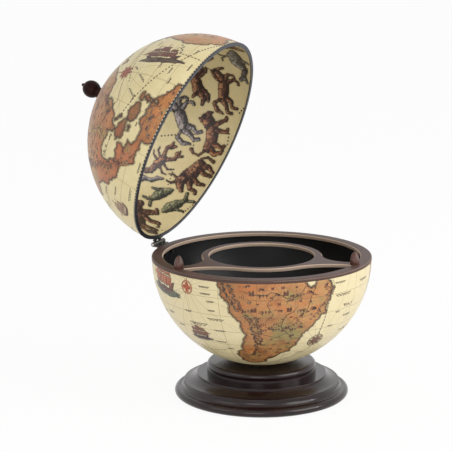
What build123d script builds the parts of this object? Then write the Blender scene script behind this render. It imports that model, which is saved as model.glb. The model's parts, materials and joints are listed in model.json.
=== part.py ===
"""Tabletop globe bar: a hinged globe on a turned wooden base, opened to show its tray.

Frame: origin at the centre of the felt's underside, +Z up, hinge at the back (+Y) with its
axis along X. Lengths are millimetres. The lid is modelled open, resting on its hinge stop.
"""

import os
from math import asin, atan2, cos, degrees, hypot, radians, sin, sqrt

from build123d import *

os.makedirs("parts", exist_ok=True)

# ---- base: felt and three turned discs
felt_t = 1.5
felt_inset = 4.0  # felt edge inside the plinth's foot
base_r = 131.5  # widest, on the roll of the plinth
foot_inset = 3.5  # foot of the plinth inside the roll
plinth_h = 23.0
plinth_edge_r = 117.0  # upright edge above the plinth's cove
plinth_edge_h = 5.5
roll_h = 11.5  # height of the roll above the plinth's underside
roll_wide_h = 4.8  # height of its widest place
roll_top_inset = 8.0
plinth_quirk = 1.2  # small flat between roll and cove
plinth_cove = 1.2  # depth of the cove above the roll
tier_r = 98.0
tier_h = 10.5
tier_edge_h = 3.5
tier_foot_inset = 1.5  # foot of the tier's cove inside the plinth's edge
tier_cove = 1.7  # depth of the tier's cove
collar_h = 18.0
collar_step_r = 82.5
collar_step_h = 7.2
collar_bead = 4.2  # how far the bead swells from its chord
collar_quirk = 2.2  # depth of the groove between step and bead
collar_top_r = 75.0
edge_round = 0.8  # on the upright edges of plinth and tier

# ---- bowl: the lower half of the globe
bowl_r = 164.4  # outside of the moulded shell
bowl_wall = 4.0
paper_t = 0.4  # printed paper on bowl and lid
glue_gap = 0.05  # between glued layers
seat_depth = 2.9  # how far the bowl sinks into the collar
liner_wall = 2.5
liner_gap = 0.4
floor_rise = 39.9  # flat floor of the bowl above the shell's inside bottom
floor_t = 4.0

# ---- tray board: rim ring, central hub for a bottle and two arms, in one piece
board_over_bowl = 0.6  # edge of the board outside the bowl's shell
board_t = 5.5
board_lift = 1.5  # board's top above the centre of the bowl's sphere
ring_w = 17.0
hub_r = 79.0
hub_w = 11.5
hub_offset = 2.5  # hub centre towards the lens side
tray_angle = -150.0  # direction of the lens gap, degrees from +X
arm_back_r = 45.0  # hollow behind each arm
arm_back_drop = 63.0  # back edge of the arms at the ring, from the globe's axis
arm_front_r = 90.0  # hollow in front of each arm
arm_front_start = 28.0  # where it leaves the hub, degrees from the lens direction
arm_corner = 5.0  # corners of the spaces at the ring
board_round = 2.0  # rounding of the board's upper edges
board_under_round = 1.2

# ---- guide pegs on the tray board, and dowels under it
peg_spread = 59.5  # each peg from the lens direction, degrees
peg_inset = 14.8  # from the board's edge
peg_r = 7.1
peg_foot_r = 6.5
peg_h = 18.5
peg_belly_h = 4.0
peg_point = 0.44  # share of a straight side in the curve up to its tip
tenon_r = 2.5
tenon_l = 4.5
dowel_r = 1.2
dowel_count = 6
dowel_in_board = 3.0
dowel_in_shell = 9.0
fit_gap = 0.1  # round a tenon, dowel, screw or bolt in its hole

# ---- bowl fixing through the base, and screws that hold the base together
bolt_r = 4.0
bolt_head_r = 8.0
bolt_head_h = 5.0
bolt_spare = 4.0  # bolt end above its nut
nut_across = 13.0
nut_h = 6.5
washer_r = 12.0
washer_t = 1.6
saddle_r = 28.0
saddle_t = 9.0  # at its middle
counterbore_h = 8.0
counterbore_gap = 1.5
base_screw_r = 2.2
base_screw_head_r = 4.2
base_screw_circle = 55.0
base_screw_count = 4
base_screw_bite = 11.0  # into the collar

# ---- lid: the upper half of the globe
lid_inset = 2.4  # outside of its moulded shell inside the board's edge
lid_wall = 4.3
lid_gap = 0.3  # closed lid above the tray board
lid_open = 68.5  # degrees from closed, on the hinge's stop
band_t = 1.5  # edging under the lid's rim
band_lap = 0.4  # edging past the papers on both sides

# ---- hinge
axis_off = 8.7  # hinge axis outside the board's edge
axis_up = 2.0  # hinge axis above the tray board
leaf_l = 37.0
leaf_t = 1.6
leaf_gap = 0.25  # leaf off the globe
lower_leaf_h = 19.0
upper_leaf_h = 20.0
leaf_corner = 3.0
barrel_r = 3.5
strip_gap = 1.0  # end of a leaf's strip to the other leaf's knuckles
knuckles = 5
knuckle_gap = 0.4
pin_r = 1.6
pin_gap = 0.05
pin_head_r = 2.6
pin_head_l = 1.6
screw_r = 1.5
screw_head_r = 3.2
screw_head_h = 1.5
screw_nut_across = 5.5
screw_nut_h = 2.6
screw_spacing = 24.0
heel_t = 2.0  # stop heels on the upper leaf's knuckles
heel_drop = 9.0  # where they meet the lower leaf, below the hinge axis
stop_gap = 0.2
lower_screw_drop = 12.5  # below the tray board's top
upper_screw_rise = 15.0  # above the lid's rim
head_gap = 0.05  # flat head or nut off its curved seat
head_dome = 0.7  # share of a screw head's height that its rounding takes

# ---- finial
finial_h = 45.5  # above the lid's paper
finial_collar_h = 16.5
finial_foot_r = 12.5
finial_foot_edge = 1.5
finial_neck_r = 9.0
finial_cove = 2.4  # depth of the hollow between foot and neck
finial_bulb_r = 13.3
finial_bulb_h = 11.0  # widest place above the collar
finial_tip_r = 2.6
finial_tip_sink = 1.3  # bead into the bulb
finial_screw_r = 2.5
finial_screw_bite = 14.0  # into the knob
finial_head_r = 5.0
finial_head_h = 2.4
finial_washer_r = 8.0
finial_washer_t = 1.0

# ---- levels and radii that follow
plinth_z = felt_t
tier_z = plinth_z + plinth_h
collar_z = tier_z + tier_h
base_top = collar_z + collar_h
bowl_paper_in = bowl_r + glue_gap
bowl_paper_out = bowl_paper_in + paper_t
bowl_z = base_top - seat_depth + bowl_paper_out + glue_gap
board_r = bowl_r + board_over_bowl
board_top = bowl_z + board_lift
board_under = board_top - board_t
bowl_in = bowl_r - bowl_wall
liner_out = bowl_in - liner_gap
liner_in = liner_out - liner_wall
floor_top = bowl_z - bowl_in + floor_rise
ring_in = board_r - ring_w
peg_place_r = board_r - peg_inset
lid_r = board_r - lid_inset
lid_in = lid_r - lid_wall
lid_paper_in = lid_r + glue_gap
lid_paper_out = lid_paper_in + paper_t
lining_out = lid_in - glue_gap
lining_in = lining_out - paper_t
axis_out = board_r + axis_off
axis_z = board_top + axis_up

circle_handle = 4 / 3 * (sqrt(2) - 1)  # handle of a cubic curve that follows a quarter circle

# ---- frames
bowl_frame = Plane(origin=(0, 0, bowl_z))
opening = radians(lid_open)
closed_rise = lid_gap - axis_up
lid_frame = Plane(
    origin=(
        0,
        axis_out - axis_out * cos(opening) + closed_rise * sin(opening),
        axis_z + axis_out * sin(opening) + closed_rise * cos(opening),
    ),
    x_dir=(1, 0, 0),
    z_dir=(0, sin(opening), cos(opening)),
)
table_profile = Plane.XZ
tray_frame = Plane(
    origin=(0, 0, board_under),
    x_dir=(cos(radians(tray_angle + 90)), sin(radians(tray_angle + 90)), 0),
    z_dir=(0, 0, 1),
)


def profile_plane(frame):
    """The plane through a frame's axis where a turned profile is drawn: x out, y up."""
    return Plane(origin=frame.origin, x_dir=frame.x_dir, z_dir=-frame.y_dir)


def side_plane(frame):
    """The plane across the hinge axis: local x towards the hinge, local y up."""
    return Plane(origin=frame.origin, x_dir=frame.y_dir, z_dir=frame.x_dir)


def turning_axis(frame):
    """The axis that a frame's turned pieces share."""
    return Axis(frame.origin, frame.z_dir)


def half_width(radius, height):
    """Radius of a sphere's cross-section at a height from its centre."""
    return sqrt(radius**2 - height**2)


def write(part, label):
    """Label a finished piece and write its STEP file."""
    part.label = label
    export_step(part, f"parts/{label}.step")


def polar(radius, angle):
    """A point of a plan, from its radius and its direction in degrees."""
    return radius * cos(radians(angle)), radius * sin(radians(angle))


def band_section(outer, inner, low, high):
    """Draw the section of a spherical shell between two heights from its centre."""

    def angle(radius, height):
        return degrees(asin(max(-1, min(1, height / radius))))

    with BuildLine() as outline:
        edges = []
        for radius in (outer, inner):
            start = angle(radius, low)
            edges.append(CenterArc((0, 0), radius, start, angle(radius, high) - start))
        Line(edges[0] @ 0, edges[1] @ 0)
        Line(edges[0] @ 1, edges[1] @ 1)
    make_face(outline.line)


def quarter_oval(widest, top, handle=circle_handle):
    """Draw a quarter of an ellipse, or a more pointed curve, from its widest point to its top."""
    rise = top[1] - widest[1]
    side_handle = (widest[0], widest[1] + handle * rise)
    top_handle = (handle * widest[0], top[1])
    return Bezier(widest, side_handle, top_handle, top)


def ring_crossing(centre, radius, ring, side):
    """Where a circle meets a ring round the origin, on the given side of the line between."""
    reach = hypot(*centre)
    along = (ring**2 + reach**2 - radius**2) / (2 * reach)
    across = side * half_width(ring, along)
    ux, uy = centre[0] / reach, centre[1] / reach
    return along * ux - across * uy, along * uy + across * ux


def radial_planes(frame, radius, height, spacing):
    """Planes at a sphere's centre that look out through two screws beside the hinge line."""
    planes = []
    for side in (-1, 1):
        across = side * spacing / 2
        ahead = sqrt(radius**2 - height**2 - across**2)
        ray = frame.x_dir * across + frame.y_dir * ahead + frame.z_dir * height
        planes.append(Plane(origin=frame.origin, x_dir=frame.x_dir, z_dir=ray))
    return planes


def cut_holes(planes, radius):
    """Drill outwards from the planes, right through."""
    with BuildSketch(*planes) as hole:
        Circle(radius)
    extrude(hole.sketch, amount=2 * board_r, mode=Mode.SUBTRACT)


def drill(radius, low, high):
    """Drill a hole up the globe's axis between two heights above the table."""
    with BuildSketch(Plane.XY.offset(low)) as hole:
        Circle(radius)
    extrude(hole.sketch, amount=high - low, mode=Mode.SUBTRACT)


# ---- base
with BuildPart() as base_felt:
    with BuildSketch(Plane.XY):
        Circle(base_r - foot_inset - felt_inset)
    extrude(amount=felt_t)
write(base_felt.part, "base_felt")

base_screw_places = [
    polar(base_screw_circle, 45 + 360 / base_screw_count * i) for i in range(base_screw_count)
]

with BuildPart() as base_plinth:
    with BuildSketch(table_profile):
        with BuildLine():
            foot = (base_r - foot_inset, plinth_z)
            roll_side = (base_r, plinth_z + roll_wide_h)
            roll_top = (base_r - roll_top_inset, plinth_z + roll_h)
            quirk = (roll_top[0] - plinth_quirk, roll_top[1])
            edge_low = (plinth_edge_r, tier_z - plinth_edge_h)
            edge_high = (plinth_edge_r, tier_z)
            Line((0, plinth_z), foot)
            ThreePointArc(foot, roll_side, roll_top)
            Line(roll_top, quirk)
            SagittaArc(quirk, edge_low, plinth_cove)
            Line(edge_low, edge_high)
            Line(edge_high, (0, tier_z))
            Line((0, tier_z), (0, plinth_z))
        make_face()
    revolve(axis=Axis.Z)
    fillet(base_plinth.edges().filter_by(GeomType.CIRCLE).group_by(Axis.Z)[-1], edge_round)
    drill(bolt_head_r + counterbore_gap, plinth_z, plinth_z + counterbore_h)
    drill(bolt_r + fit_gap, plinth_z, tier_z)
    with Locations(*[Plane((x, y, plinth_z), z_dir=(0, 0, -1)) for x, y in base_screw_places]):
        CounterSinkHole(base_screw_r + fit_gap, base_screw_head_r + fit_gap)
write(base_plinth.part, "base_plinth")

with BuildPart() as base_tier:
    with BuildSketch(table_profile):
        with BuildLine():
            foot = (plinth_edge_r - tier_foot_inset, tier_z)
            edge_low = (tier_r, collar_z - tier_edge_h)
            edge_high = (tier_r, collar_z)
            Line((0, tier_z), foot)
            SagittaArc(foot, edge_low, tier_cove)
            Line(edge_low, edge_high)
            Line(edge_high, (0, collar_z))
            Line((0, collar_z), (0, tier_z))
        make_face()
    revolve(axis=Axis.Z)
    fillet(base_tier.edges().filter_by(GeomType.CIRCLE).group_by(Axis.Z)[-1], edge_round)
    drill(bolt_r + fit_gap, tier_z, collar_z)
    with BuildSketch(Plane.XY.offset(tier_z)):
        with Locations(*base_screw_places):
            Circle(base_screw_r + fit_gap)
    extrude(amount=tier_h, mode=Mode.SUBTRACT)
write(base_tier.part, "base_tier")

with BuildPart() as base_collar:
    with BuildSketch(table_profile):
        with BuildLine():
            step_low = (collar_step_r, collar_z)
            step_high = (collar_step_r, collar_z + collar_step_h)
            groove = (collar_step_r - collar_quirk, step_high[1] + collar_quirk / 2)
            lip = (collar_top_r, base_top)
            Line((0, collar_z), step_low)
            Line(step_low, step_high)
            Line(step_high, groove)
            SagittaArc(groove, lip, -collar_bead)
            Line(lip, (0, base_top))
            Line((0, base_top), (0, collar_z))
        make_face()
    revolve(axis=Axis.Z)
    with Locations(bowl_frame.origin):
        Sphere(bowl_paper_out + glue_gap, mode=Mode.SUBTRACT)
    drill(bolt_r + fit_gap, collar_z, base_top)
    with BuildSketch(Plane.XY.offset(collar_z)):
        with Locations(*base_screw_places):
            Circle(base_screw_r + fit_gap)
    extrude(amount=base_screw_bite + fit_gap, mode=Mode.SUBTRACT)
write(base_collar.part, "base_collar")

with BuildPart() as base_screws:
    for x, y in base_screw_places:
        place = Plane(origin=(x, y, plinth_z + fit_gap))
        with BuildSketch(profile_plane(place)):
            with BuildLine():
                length = collar_z + base_screw_bite - plinth_z - fit_gap
                Polyline(
                    (0, 0),
                    (base_screw_head_r, 0),
                    (base_screw_r, base_screw_head_r - base_screw_r),
                    (base_screw_r, length - 2 * base_screw_r),
                    (0, length),
                    close=True,
                )
            make_face()
        revolve(axis=turning_axis(place))
write(base_screws.part, "base_screws")

# ---- bowl
lower_screw_planes = radial_planes(
    bowl_frame, bowl_paper_out, board_lift - lower_screw_drop, screw_spacing
)
shell_cut = board_under - bowl_z
shell_top_mid = (half_width(bowl_r, shell_cut) + half_width(bowl_in, shell_cut)) / 2
dowel_places = [polar(shell_top_mid, 360 / dowel_count * i) for i in range(dowel_count)]

with BuildPart() as bowl_shell:
    with BuildSketch(profile_plane(bowl_frame)):
        band_section(bowl_r, bowl_in, -bowl_r, shell_cut)
    revolve(axis=Axis.Z)
    drill(bolt_r + fit_gap, collar_z, bowl_z)
    cut_holes(lower_screw_planes, screw_r + fit_gap)
    with BuildSketch(Plane.XY.offset(board_under)):
        with Locations(*dowel_places):
            Circle(dowel_r + fit_gap)
    extrude(amount=-dowel_in_shell - fit_gap, mode=Mode.SUBTRACT)
write(bowl_shell.part, "bowl_shell")

with BuildPart() as bowl_map:
    with BuildSketch(profile_plane(bowl_frame)):
        band_section(bowl_paper_out, bowl_paper_in, -bowl_paper_out, shell_cut)
    revolve(axis=Axis.Z)
    drill(bolt_r + fit_gap, collar_z, bowl_z)
    cut_holes(lower_screw_planes, screw_r + fit_gap)
write(bowl_map.part, "bowl_map")

with BuildPart() as bowl_liner:
    with BuildSketch(profile_plane(bowl_frame)):
        band_section(liner_out, liner_in, floor_top - floor_t - bowl_z, shell_cut)
    revolve(axis=Axis.Z)
    cut_holes(lower_screw_planes, screw_r + fit_gap)
write(bowl_liner.part, "bowl_liner")

with BuildPart() as bowl_floor:
    with BuildSketch(profile_plane(bowl_frame)):
        low, high = floor_top - floor_t - bowl_z, floor_top - bowl_z
        with BuildLine():
            edge_r = liner_in - fit_gap
            start = degrees(asin(low / edge_r))
            edge = CenterArc((0, 0), edge_r, start, degrees(asin(high / edge_r)) - start)
            Line((0, low), edge @ 0)
            Line(edge @ 1, (0, high))
            Line((0, high), (0, low))
        make_face()
    revolve(axis=Axis.Z)
write(bowl_floor.part, "bowl_floor")

# ---- bowl fixing
inner_bottom = bowl_z - bowl_in
saddle_top = inner_bottom + saddle_t
washer_top = saddle_top + washer_t
nut_top = washer_top + nut_h

with BuildPart() as saddle_block:
    with BuildSketch(profile_plane(bowl_frame)):
        with Locations((saddle_r / 2, saddle_top - bowl_z - saddle_t)):
            Rectangle(saddle_r, 2 * saddle_t)
        Circle(bowl_in - fit_gap, mode=Mode.INTERSECT)
    revolve(axis=Axis.Z)
    drill(bolt_r + fit_gap, inner_bottom, saddle_top)
write(saddle_block.part, "saddle_block")

with BuildPart() as clamp_washer:
    with BuildSketch(Plane.XY.offset(saddle_top)):
        Circle(washer_r)
        Circle(bolt_r + fit_gap, mode=Mode.SUBTRACT)
    extrude(amount=washer_t)
write(clamp_washer.part, "clamp_washer")

with BuildPart() as clamp_nut:
    with BuildSketch(Plane.XY.offset(washer_top)):
        RegularPolygon(nut_across / 2, 6, major_radius=False)
        Circle(bolt_r + fit_gap, mode=Mode.SUBTRACT)
    extrude(amount=nut_h)
write(clamp_nut.part, "clamp_nut")

with BuildPart() as clamp_bolt:
    head_z = plinth_z + counterbore_h - bolt_head_h
    with BuildSketch(Plane.XY.offset(head_z)):
        Circle(bolt_head_r)
    extrude(amount=bolt_head_h)
    fillet(clamp_bolt.edges().group_by(Axis.Z)[0], bolt_head_h / 2)
    with BuildSketch(Plane.XY.offset(head_z + bolt_head_h)):
        Circle(bolt_r)
    extrude(amount=nut_top + bolt_spare - head_z - bolt_head_h)
write(clamp_bolt.part, "clamp_bolt")

# ---- tray board
hub_out = hub_r + hub_w
hub_centre = (0, -hub_offset)
back_centre_y = arm_back_r - arm_back_drop
back_reach = hub_out + arm_back_r
back_centre = (half_width(back_reach, back_centre_y + hub_offset), back_centre_y)
front_reach = hub_out + arm_front_r
front_angle = radians(arm_front_start)
front_centre = (front_reach * sin(front_angle), -hub_offset - front_reach * cos(front_angle))
peg_places = {
    "left": polar(peg_place_r, tray_angle - peg_spread),
    "right": polar(peg_place_r, tray_angle + peg_spread),
}


def mirrored(point):
    """The same point on the other arm."""
    return -point[0], point[1]


def arm_space(centre, radius, side, far):
    """Draw a space between hub and ring, with a hollow of the given circle at each arm."""
    share = hub_out / (hub_out + radius)
    leave = (centre[0] * share, -hub_offset + (centre[1] + hub_offset) * share)
    meet = ring_crossing(centre, radius, ring_in, side)
    with BuildLine() as outline:
        ThreePointArc(mirrored(leave), (0, -hub_offset + far * hub_out), leave)
        ThreePointArc(mirrored(meet), (0, far * ring_in), meet)
        RadiusArc(leave, meet, -far * radius)
        RadiusArc(mirrored(leave), mirrored(meet), far * radius)
    make_face(outline.line)


with BuildPart() as tray_board:
    with BuildSketch(tray_frame):
        Circle(board_r)
        with Locations(hub_centre):
            Circle(hub_r, mode=Mode.SUBTRACT)
    extrude(amount=board_t)
    with BuildSketch(tray_frame) as arm_spaces:
        arm_space(back_centre, arm_back_r, -1, 1)
        arm_space(front_centre, arm_front_r, 1, -1)
        tips = [v for v in arm_spaces.vertices() if abs(hypot(v.X, v.Y) - ring_in) < 0.01]
        fillet(tips, arm_corner)
    extrude(amount=board_t, mode=Mode.SUBTRACT)
    fillet(tray_board.edges().group_by(Axis.Z)[-1], board_round)
    fillet(tray_board.edges().group_by(Axis.Z)[0], board_under_round)
    with BuildSketch(Plane.XY.offset(board_top)):
        with Locations(*peg_places.values()):
            Circle(tenon_r + fit_gap)
    extrude(amount=-tenon_l - fit_gap, mode=Mode.SUBTRACT)
    with BuildSketch(Plane.XY.offset(board_under)):
        with Locations(*dowel_places):
            Circle(dowel_r + fit_gap)
    extrude(amount=dowel_in_board + fit_gap, mode=Mode.SUBTRACT)
write(tray_board.part, "tray_board")

with BuildPart() as tray_dowels:
    with BuildSketch(Plane.XY.offset(board_under - dowel_in_shell)):
        with Locations(*dowel_places):
            Circle(dowel_r)
    extrude(amount=dowel_in_shell + dowel_in_board)
write(tray_dowels.part, "tray_dowels")

for side, (x, y) in peg_places.items():
    with BuildPart() as guide_peg:
        place = Plane(origin=(x, y, board_top))
        with BuildSketch(profile_plane(place)):
            with BuildLine():
                quarter_oval((peg_r, peg_belly_h), (0, peg_h), peg_point)
                TangentArc((peg_r, peg_belly_h), (peg_foot_r, 0), tangent=(0, -1))
                Polyline(
                    (peg_foot_r, 0),
                    (tenon_r, 0),
                    (tenon_r, -tenon_l),
                    (0, -tenon_l),
                    (0, peg_h),
                )
            make_face()
        revolve(axis=turning_axis(place))
    write(guide_peg.part, f"guide_peg_{side}")

# ---- hinge
lower_leaf_in = board_r + leaf_gap
lower_leaf_out = lower_leaf_in + leaf_t
upper_leaf_in = lid_paper_out + leaf_gap
upper_leaf_out = upper_leaf_in + leaf_t
strip_end = axis_out - barrel_r - strip_gap
knuckle_pitch = leaf_l / knuckles
knuckle_places = [knuckle_pitch * (i - (knuckles - 1) / 2) for i in range(knuckles)]
lower_axis = (axis_out, axis_z - bowl_z)
upper_axis = (axis_out, axis_up - lid_gap)


def hinge_leaf(frame, axis, leaf_in, low, high, strip_low, places):
    """Make a curved leaf, its strip out to the barrel and its share of the knuckles."""
    side = side_plane(frame)
    strip_mid = strip_low + leaf_t / 2
    with BuildSketch(profile_plane(frame)) as section:
        band_section(leaf_in + leaf_t, leaf_in, low, high)
    revolve(section.sketch, axis=turning_axis(frame))
    with BuildSketch(profile_plane(frame)) as outline:
        with Locations((0, (low + high) / 2)):
            RectangleRounded(leaf_l, high - low, leaf_corner)
    extrude(outline.sketch, amount=-2 * board_r, mode=Mode.INTERSECT)
    with BuildSketch(side) as strip:
        with Locations(((leaf_in - leaf_t + strip_end) / 2, strip_mid)):
            Rectangle(strip_end - leaf_in + leaf_t, leaf_t)
    extrude(strip.sketch, amount=leaf_l / 2 - leaf_corner, both=True)
    with BuildSketch(*[side.offset(x) for x in places]) as knuckle:
        with Locations(((leaf_in + axis[0]) / 2, strip_mid)):
            Rectangle(axis[0] - leaf_in, leaf_t)
        with Locations(axis):
            Circle(barrel_r)
    extrude(knuckle.sketch, amount=(knuckle_pitch - knuckle_gap) / 2, both=True)
    with BuildSketch(side) as bore:
        with Locations(axis):
            Circle(pin_r + pin_gap)
    extrude(bore.sketch, amount=leaf_l, both=True, mode=Mode.SUBTRACT)
    with Locations(frame.origin):
        Sphere(leaf_in, mode=Mode.SUBTRACT)


with BuildPart() as hinge_lower_leaf:
    strip_low = lower_axis[1] - barrel_r
    strip_high = strip_low + leaf_t
    hinge_leaf(
        bowl_frame,
        lower_axis,
        lower_leaf_in,
        strip_high - lower_leaf_h,
        strip_high,
        strip_low,
        knuckle_places[0::2],
    )
    cut_holes(lower_screw_planes, screw_r + fit_gap)
write(hinge_lower_leaf.part, "hinge_lower_leaf")

upper_screw_planes = radial_planes(lid_frame, lid_paper_out, upper_screw_rise, screw_spacing)

with BuildPart() as hinge_upper_leaf:
    strip_low = upper_axis[1] + barrel_r - leaf_t
    hinge_leaf(
        lid_frame,
        upper_axis,
        upper_leaf_in,
        strip_low,
        strip_low + upper_leaf_h,
        strip_low,
        knuckle_places[1::2],
    )
    heel_low = lower_axis[1] - heel_drop
    heel_reach = half_width(lower_leaf_out, heel_low) - axis_out
    heel_angle = degrees(atan2(-heel_drop, heel_reach))
    with BuildSketch(*[side_plane(bowl_frame).offset(x) for x in knuckle_places[1::2]]) as heel:
        with Locations(Location((*lower_axis, 0), (0, 0, heel_angle))):
            Rectangle(2 * heel_drop, heel_t, align=(Align.MIN, Align.CENTER))
        Circle(lower_leaf_out + stop_gap, mode=Mode.SUBTRACT)
        with Locations(lower_axis):
            Circle(pin_r + pin_gap, mode=Mode.SUBTRACT)
    extrude(heel.sketch, amount=(knuckle_pitch - knuckle_gap) / 2, both=True)
    cut_holes(upper_screw_planes, screw_r + fit_gap)
write(hinge_upper_leaf.part, "hinge_upper_leaf")

with BuildPart() as hinge_pin:
    side = side_plane(bowl_frame)
    with BuildSketch(side):
        with Locations(lower_axis):
            Circle(pin_r)
    extrude(amount=leaf_l / 2, both=True)
    for end in (-1, 1):
        with BuildSketch(side.offset(end * leaf_l / 2)):
            with Locations(lower_axis):
                Circle(pin_head_r)
        extrude(amount=end * pin_head_l)
    fillet(hinge_pin.edges().group_by(Axis.X)[-1], pin_head_l / 2)
    fillet(hinge_pin.edges().group_by(Axis.X)[0], pin_head_l / 2)
write(hinge_pin.part, "hinge_pin")


def hinge_screws(planes, leaf_out, wall_in, label):
    """Write the screws of a leaf and the nuts on them inside the globe."""
    head_at = leaf_out + head_gap
    nut_at = half_width(wall_in, screw_nut_across / 2) - head_gap
    end_at = nut_at - screw_nut_h - screw_r / 2
    with BuildPart() as screws:
        for plane in planes:
            with BuildSketch(plane.offset(head_at)):
                Circle(screw_head_r)
            crown = extrude(amount=screw_head_h)
            top = crown.edges().sort_by(Axis(plane.origin, plane.z_dir))[-1]
            fillet(top, screw_head_h * head_dome)
            with BuildSketch(plane.offset(end_at)):
                Circle(screw_r)
            extrude(amount=head_at - end_at)
    write(screws.part, f"hinge_{label}_screws")
    with BuildPart() as nuts:
        with BuildSketch(*[plane.offset(nut_at) for plane in planes]):
            RegularPolygon(screw_nut_across / 2, 6, major_radius=False)
            Circle(screw_r + pin_gap, mode=Mode.SUBTRACT)
        extrude(amount=-screw_nut_h)
    write(nuts.part, f"hinge_{label}_nuts")


hinge_screws(lower_screw_planes, lower_leaf_out, liner_in, "lower")
hinge_screws(upper_screw_planes, upper_leaf_out, lining_in, "upper")

# ---- lid
lid_profile = profile_plane(lid_frame)
lid_axis = turning_axis(lid_frame)


def drill_lid(radius, low, high):
    """Drill a hole up the lid's axis between two heights above its rim."""
    with BuildSketch(lid_frame.offset(low)) as hole:
        Circle(radius)
    extrude(hole.sketch, amount=high - low, mode=Mode.SUBTRACT)


for label, outer, inner in (
    ("lid_shell", lid_r, lid_in),
    ("lid_map", lid_paper_out, lid_paper_in),
    ("lid_lining", lining_out, lining_in),
):
    with BuildPart() as dome:
        with BuildSketch(lid_profile):
            band_section(outer, inner, band_t, outer)
        revolve(axis=lid_axis)
        drill_lid(finial_screw_r + fit_gap, 0, 2 * lid_r)
        cut_holes(upper_screw_planes, screw_r + fit_gap)
    write(dome.part, label)

with BuildPart() as lid_rim_band:
    with BuildSketch(lid_frame):
        Circle(lid_paper_out + band_lap)
        Circle(lining_in - band_lap, mode=Mode.SUBTRACT)
    extrude(amount=band_t)
    fillet(lid_rim_band.edges().sort_by(lid_axis)[:2], band_lap)
write(lid_rim_band.part, "lid_rim_band")

# ---- finial
finial_seat = lid_paper_out + glue_gap
finial_top = lid_paper_out + finial_h
neck_at = lid_paper_out + finial_collar_h
bulb_at = neck_at + finial_bulb_h
screw_end = neck_at + finial_screw_bite

with BuildPart() as finial_collar:
    with BuildSketch(lid_profile):
        foot_at = half_width(finial_seat, finial_foot_r)
        with BuildLine():
            Line((0, finial_seat), (0, neck_at))
            Line((0, neck_at), (finial_neck_r, neck_at))
            SagittaArc(
                (finial_foot_r, foot_at + finial_foot_edge),
                (finial_neck_r, neck_at),
                finial_cove,
            )
            Line((finial_foot_r, foot_at + finial_foot_edge), (finial_foot_r, foot_at))
            RadiusArc((finial_foot_r, foot_at), (0, finial_seat), -finial_seat)
        make_face()
    revolve(axis=lid_axis)
    drill_lid(finial_screw_r + fit_gap, lid_in, neck_at)
write(finial_collar.part, "finial_collar")

with BuildPart() as finial_knob:
    dome_h = finial_top - 2 * finial_tip_r + finial_tip_sink - bulb_at
    with BuildSketch(lid_profile):
        with BuildLine():
            quarter_oval((finial_bulb_r, bulb_at), (0, bulb_at + dome_h))
            TangentArc((finial_bulb_r, bulb_at), (finial_neck_r, neck_at), tangent=(0, -1))
            Polyline((finial_neck_r, neck_at), (0, neck_at), (0, bulb_at + dome_h))
        make_face()
    revolve(axis=lid_axis)
    with Locations((lid_frame.offset(finial_top - finial_tip_r)).origin):
        Sphere(finial_tip_r)
    drill_lid(finial_screw_r + fit_gap, neck_at, screw_end + fit_gap)
write(finial_knob.part, "finial_knob")

washer_at = half_width(lining_in, finial_washer_r) - head_gap

with BuildPart() as finial_washer:
    with BuildSketch(lid_frame.offset(washer_at)):
        Circle(finial_washer_r)
        Circle(finial_screw_r + fit_gap, mode=Mode.SUBTRACT)
    extrude(amount=-finial_washer_t)
write(finial_washer.part, "finial_washer")

with BuildPart() as finial_screw:
    head_at = washer_at - finial_washer_t
    with BuildSketch(lid_frame.offset(head_at)):
        Circle(finial_head_r)
    extrude(amount=-finial_head_h)
    fillet(finial_screw.edges().sort_by(lid_axis)[0], finial_head_h * head_dome)
    with BuildSketch(lid_frame.offset(head_at)):
        Circle(finial_screw_r)
    extrude(amount=screw_end - head_at)
write(finial_screw.part, "finial_screw")
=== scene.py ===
"""Looks of the tabletop globe bar: printed globe papers, turned wood, tray, metalwork and stage."""

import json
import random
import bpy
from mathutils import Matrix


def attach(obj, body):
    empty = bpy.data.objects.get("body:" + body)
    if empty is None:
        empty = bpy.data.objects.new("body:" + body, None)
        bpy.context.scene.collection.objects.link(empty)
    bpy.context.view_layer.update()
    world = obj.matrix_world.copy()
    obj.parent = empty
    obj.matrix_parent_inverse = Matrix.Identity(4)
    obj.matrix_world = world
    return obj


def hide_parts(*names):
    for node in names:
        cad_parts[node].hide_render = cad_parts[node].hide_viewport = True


bl_info = {
    "name": "Tabletop Globe Bar",
    "version": (1, 0, 0),
    "blender": (4, 5, 0),
    "location": "View3D > Sidebar > Globe Bar",
    "description": "Prints, wood, metal and stage for a hinged globe bar",
    "category": "Object",
}

from math import asin, cos, degrees, hypot, pi, radians, sin, sqrt

import bmesh
import bpy
import numpy as np
from bpy.props import FloatProperty, FloatVectorProperty, IntProperty, PointerProperty
from mathutils import Matrix, Vector
from mathutils.geometry import tessellate_polygon
from mathutils.kdtree import KDTree

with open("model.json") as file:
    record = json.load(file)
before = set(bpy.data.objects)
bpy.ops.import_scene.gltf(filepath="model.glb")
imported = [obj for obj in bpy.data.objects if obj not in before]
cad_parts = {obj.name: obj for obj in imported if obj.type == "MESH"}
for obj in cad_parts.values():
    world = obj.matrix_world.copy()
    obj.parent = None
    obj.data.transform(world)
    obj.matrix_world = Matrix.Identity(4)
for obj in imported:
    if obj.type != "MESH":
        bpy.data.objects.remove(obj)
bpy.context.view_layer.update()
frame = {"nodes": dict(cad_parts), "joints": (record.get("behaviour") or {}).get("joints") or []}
MM = 0.001

# ---- where the papers are, read from the frame


def node_points(node):
    """Vertices of a node of the frame."""
    mesh = frame["nodes"][node].data
    points = np.empty(len(mesh.vertices) * 3)
    mesh.vertices.foreach_get("co", points)
    return points.reshape(-1, 3)


def fitted_sphere(points):
    """Centre of a spherical skin and its least and greatest radius."""
    table = np.c_[2 * points, np.ones(len(points))]
    centre = np.linalg.lstsq(table, (points**2).sum(1), rcond=None)[0][:3]
    reach = np.linalg.norm(points - centre, axis=1)
    return centre, reach.min(), reach.max()


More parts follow.
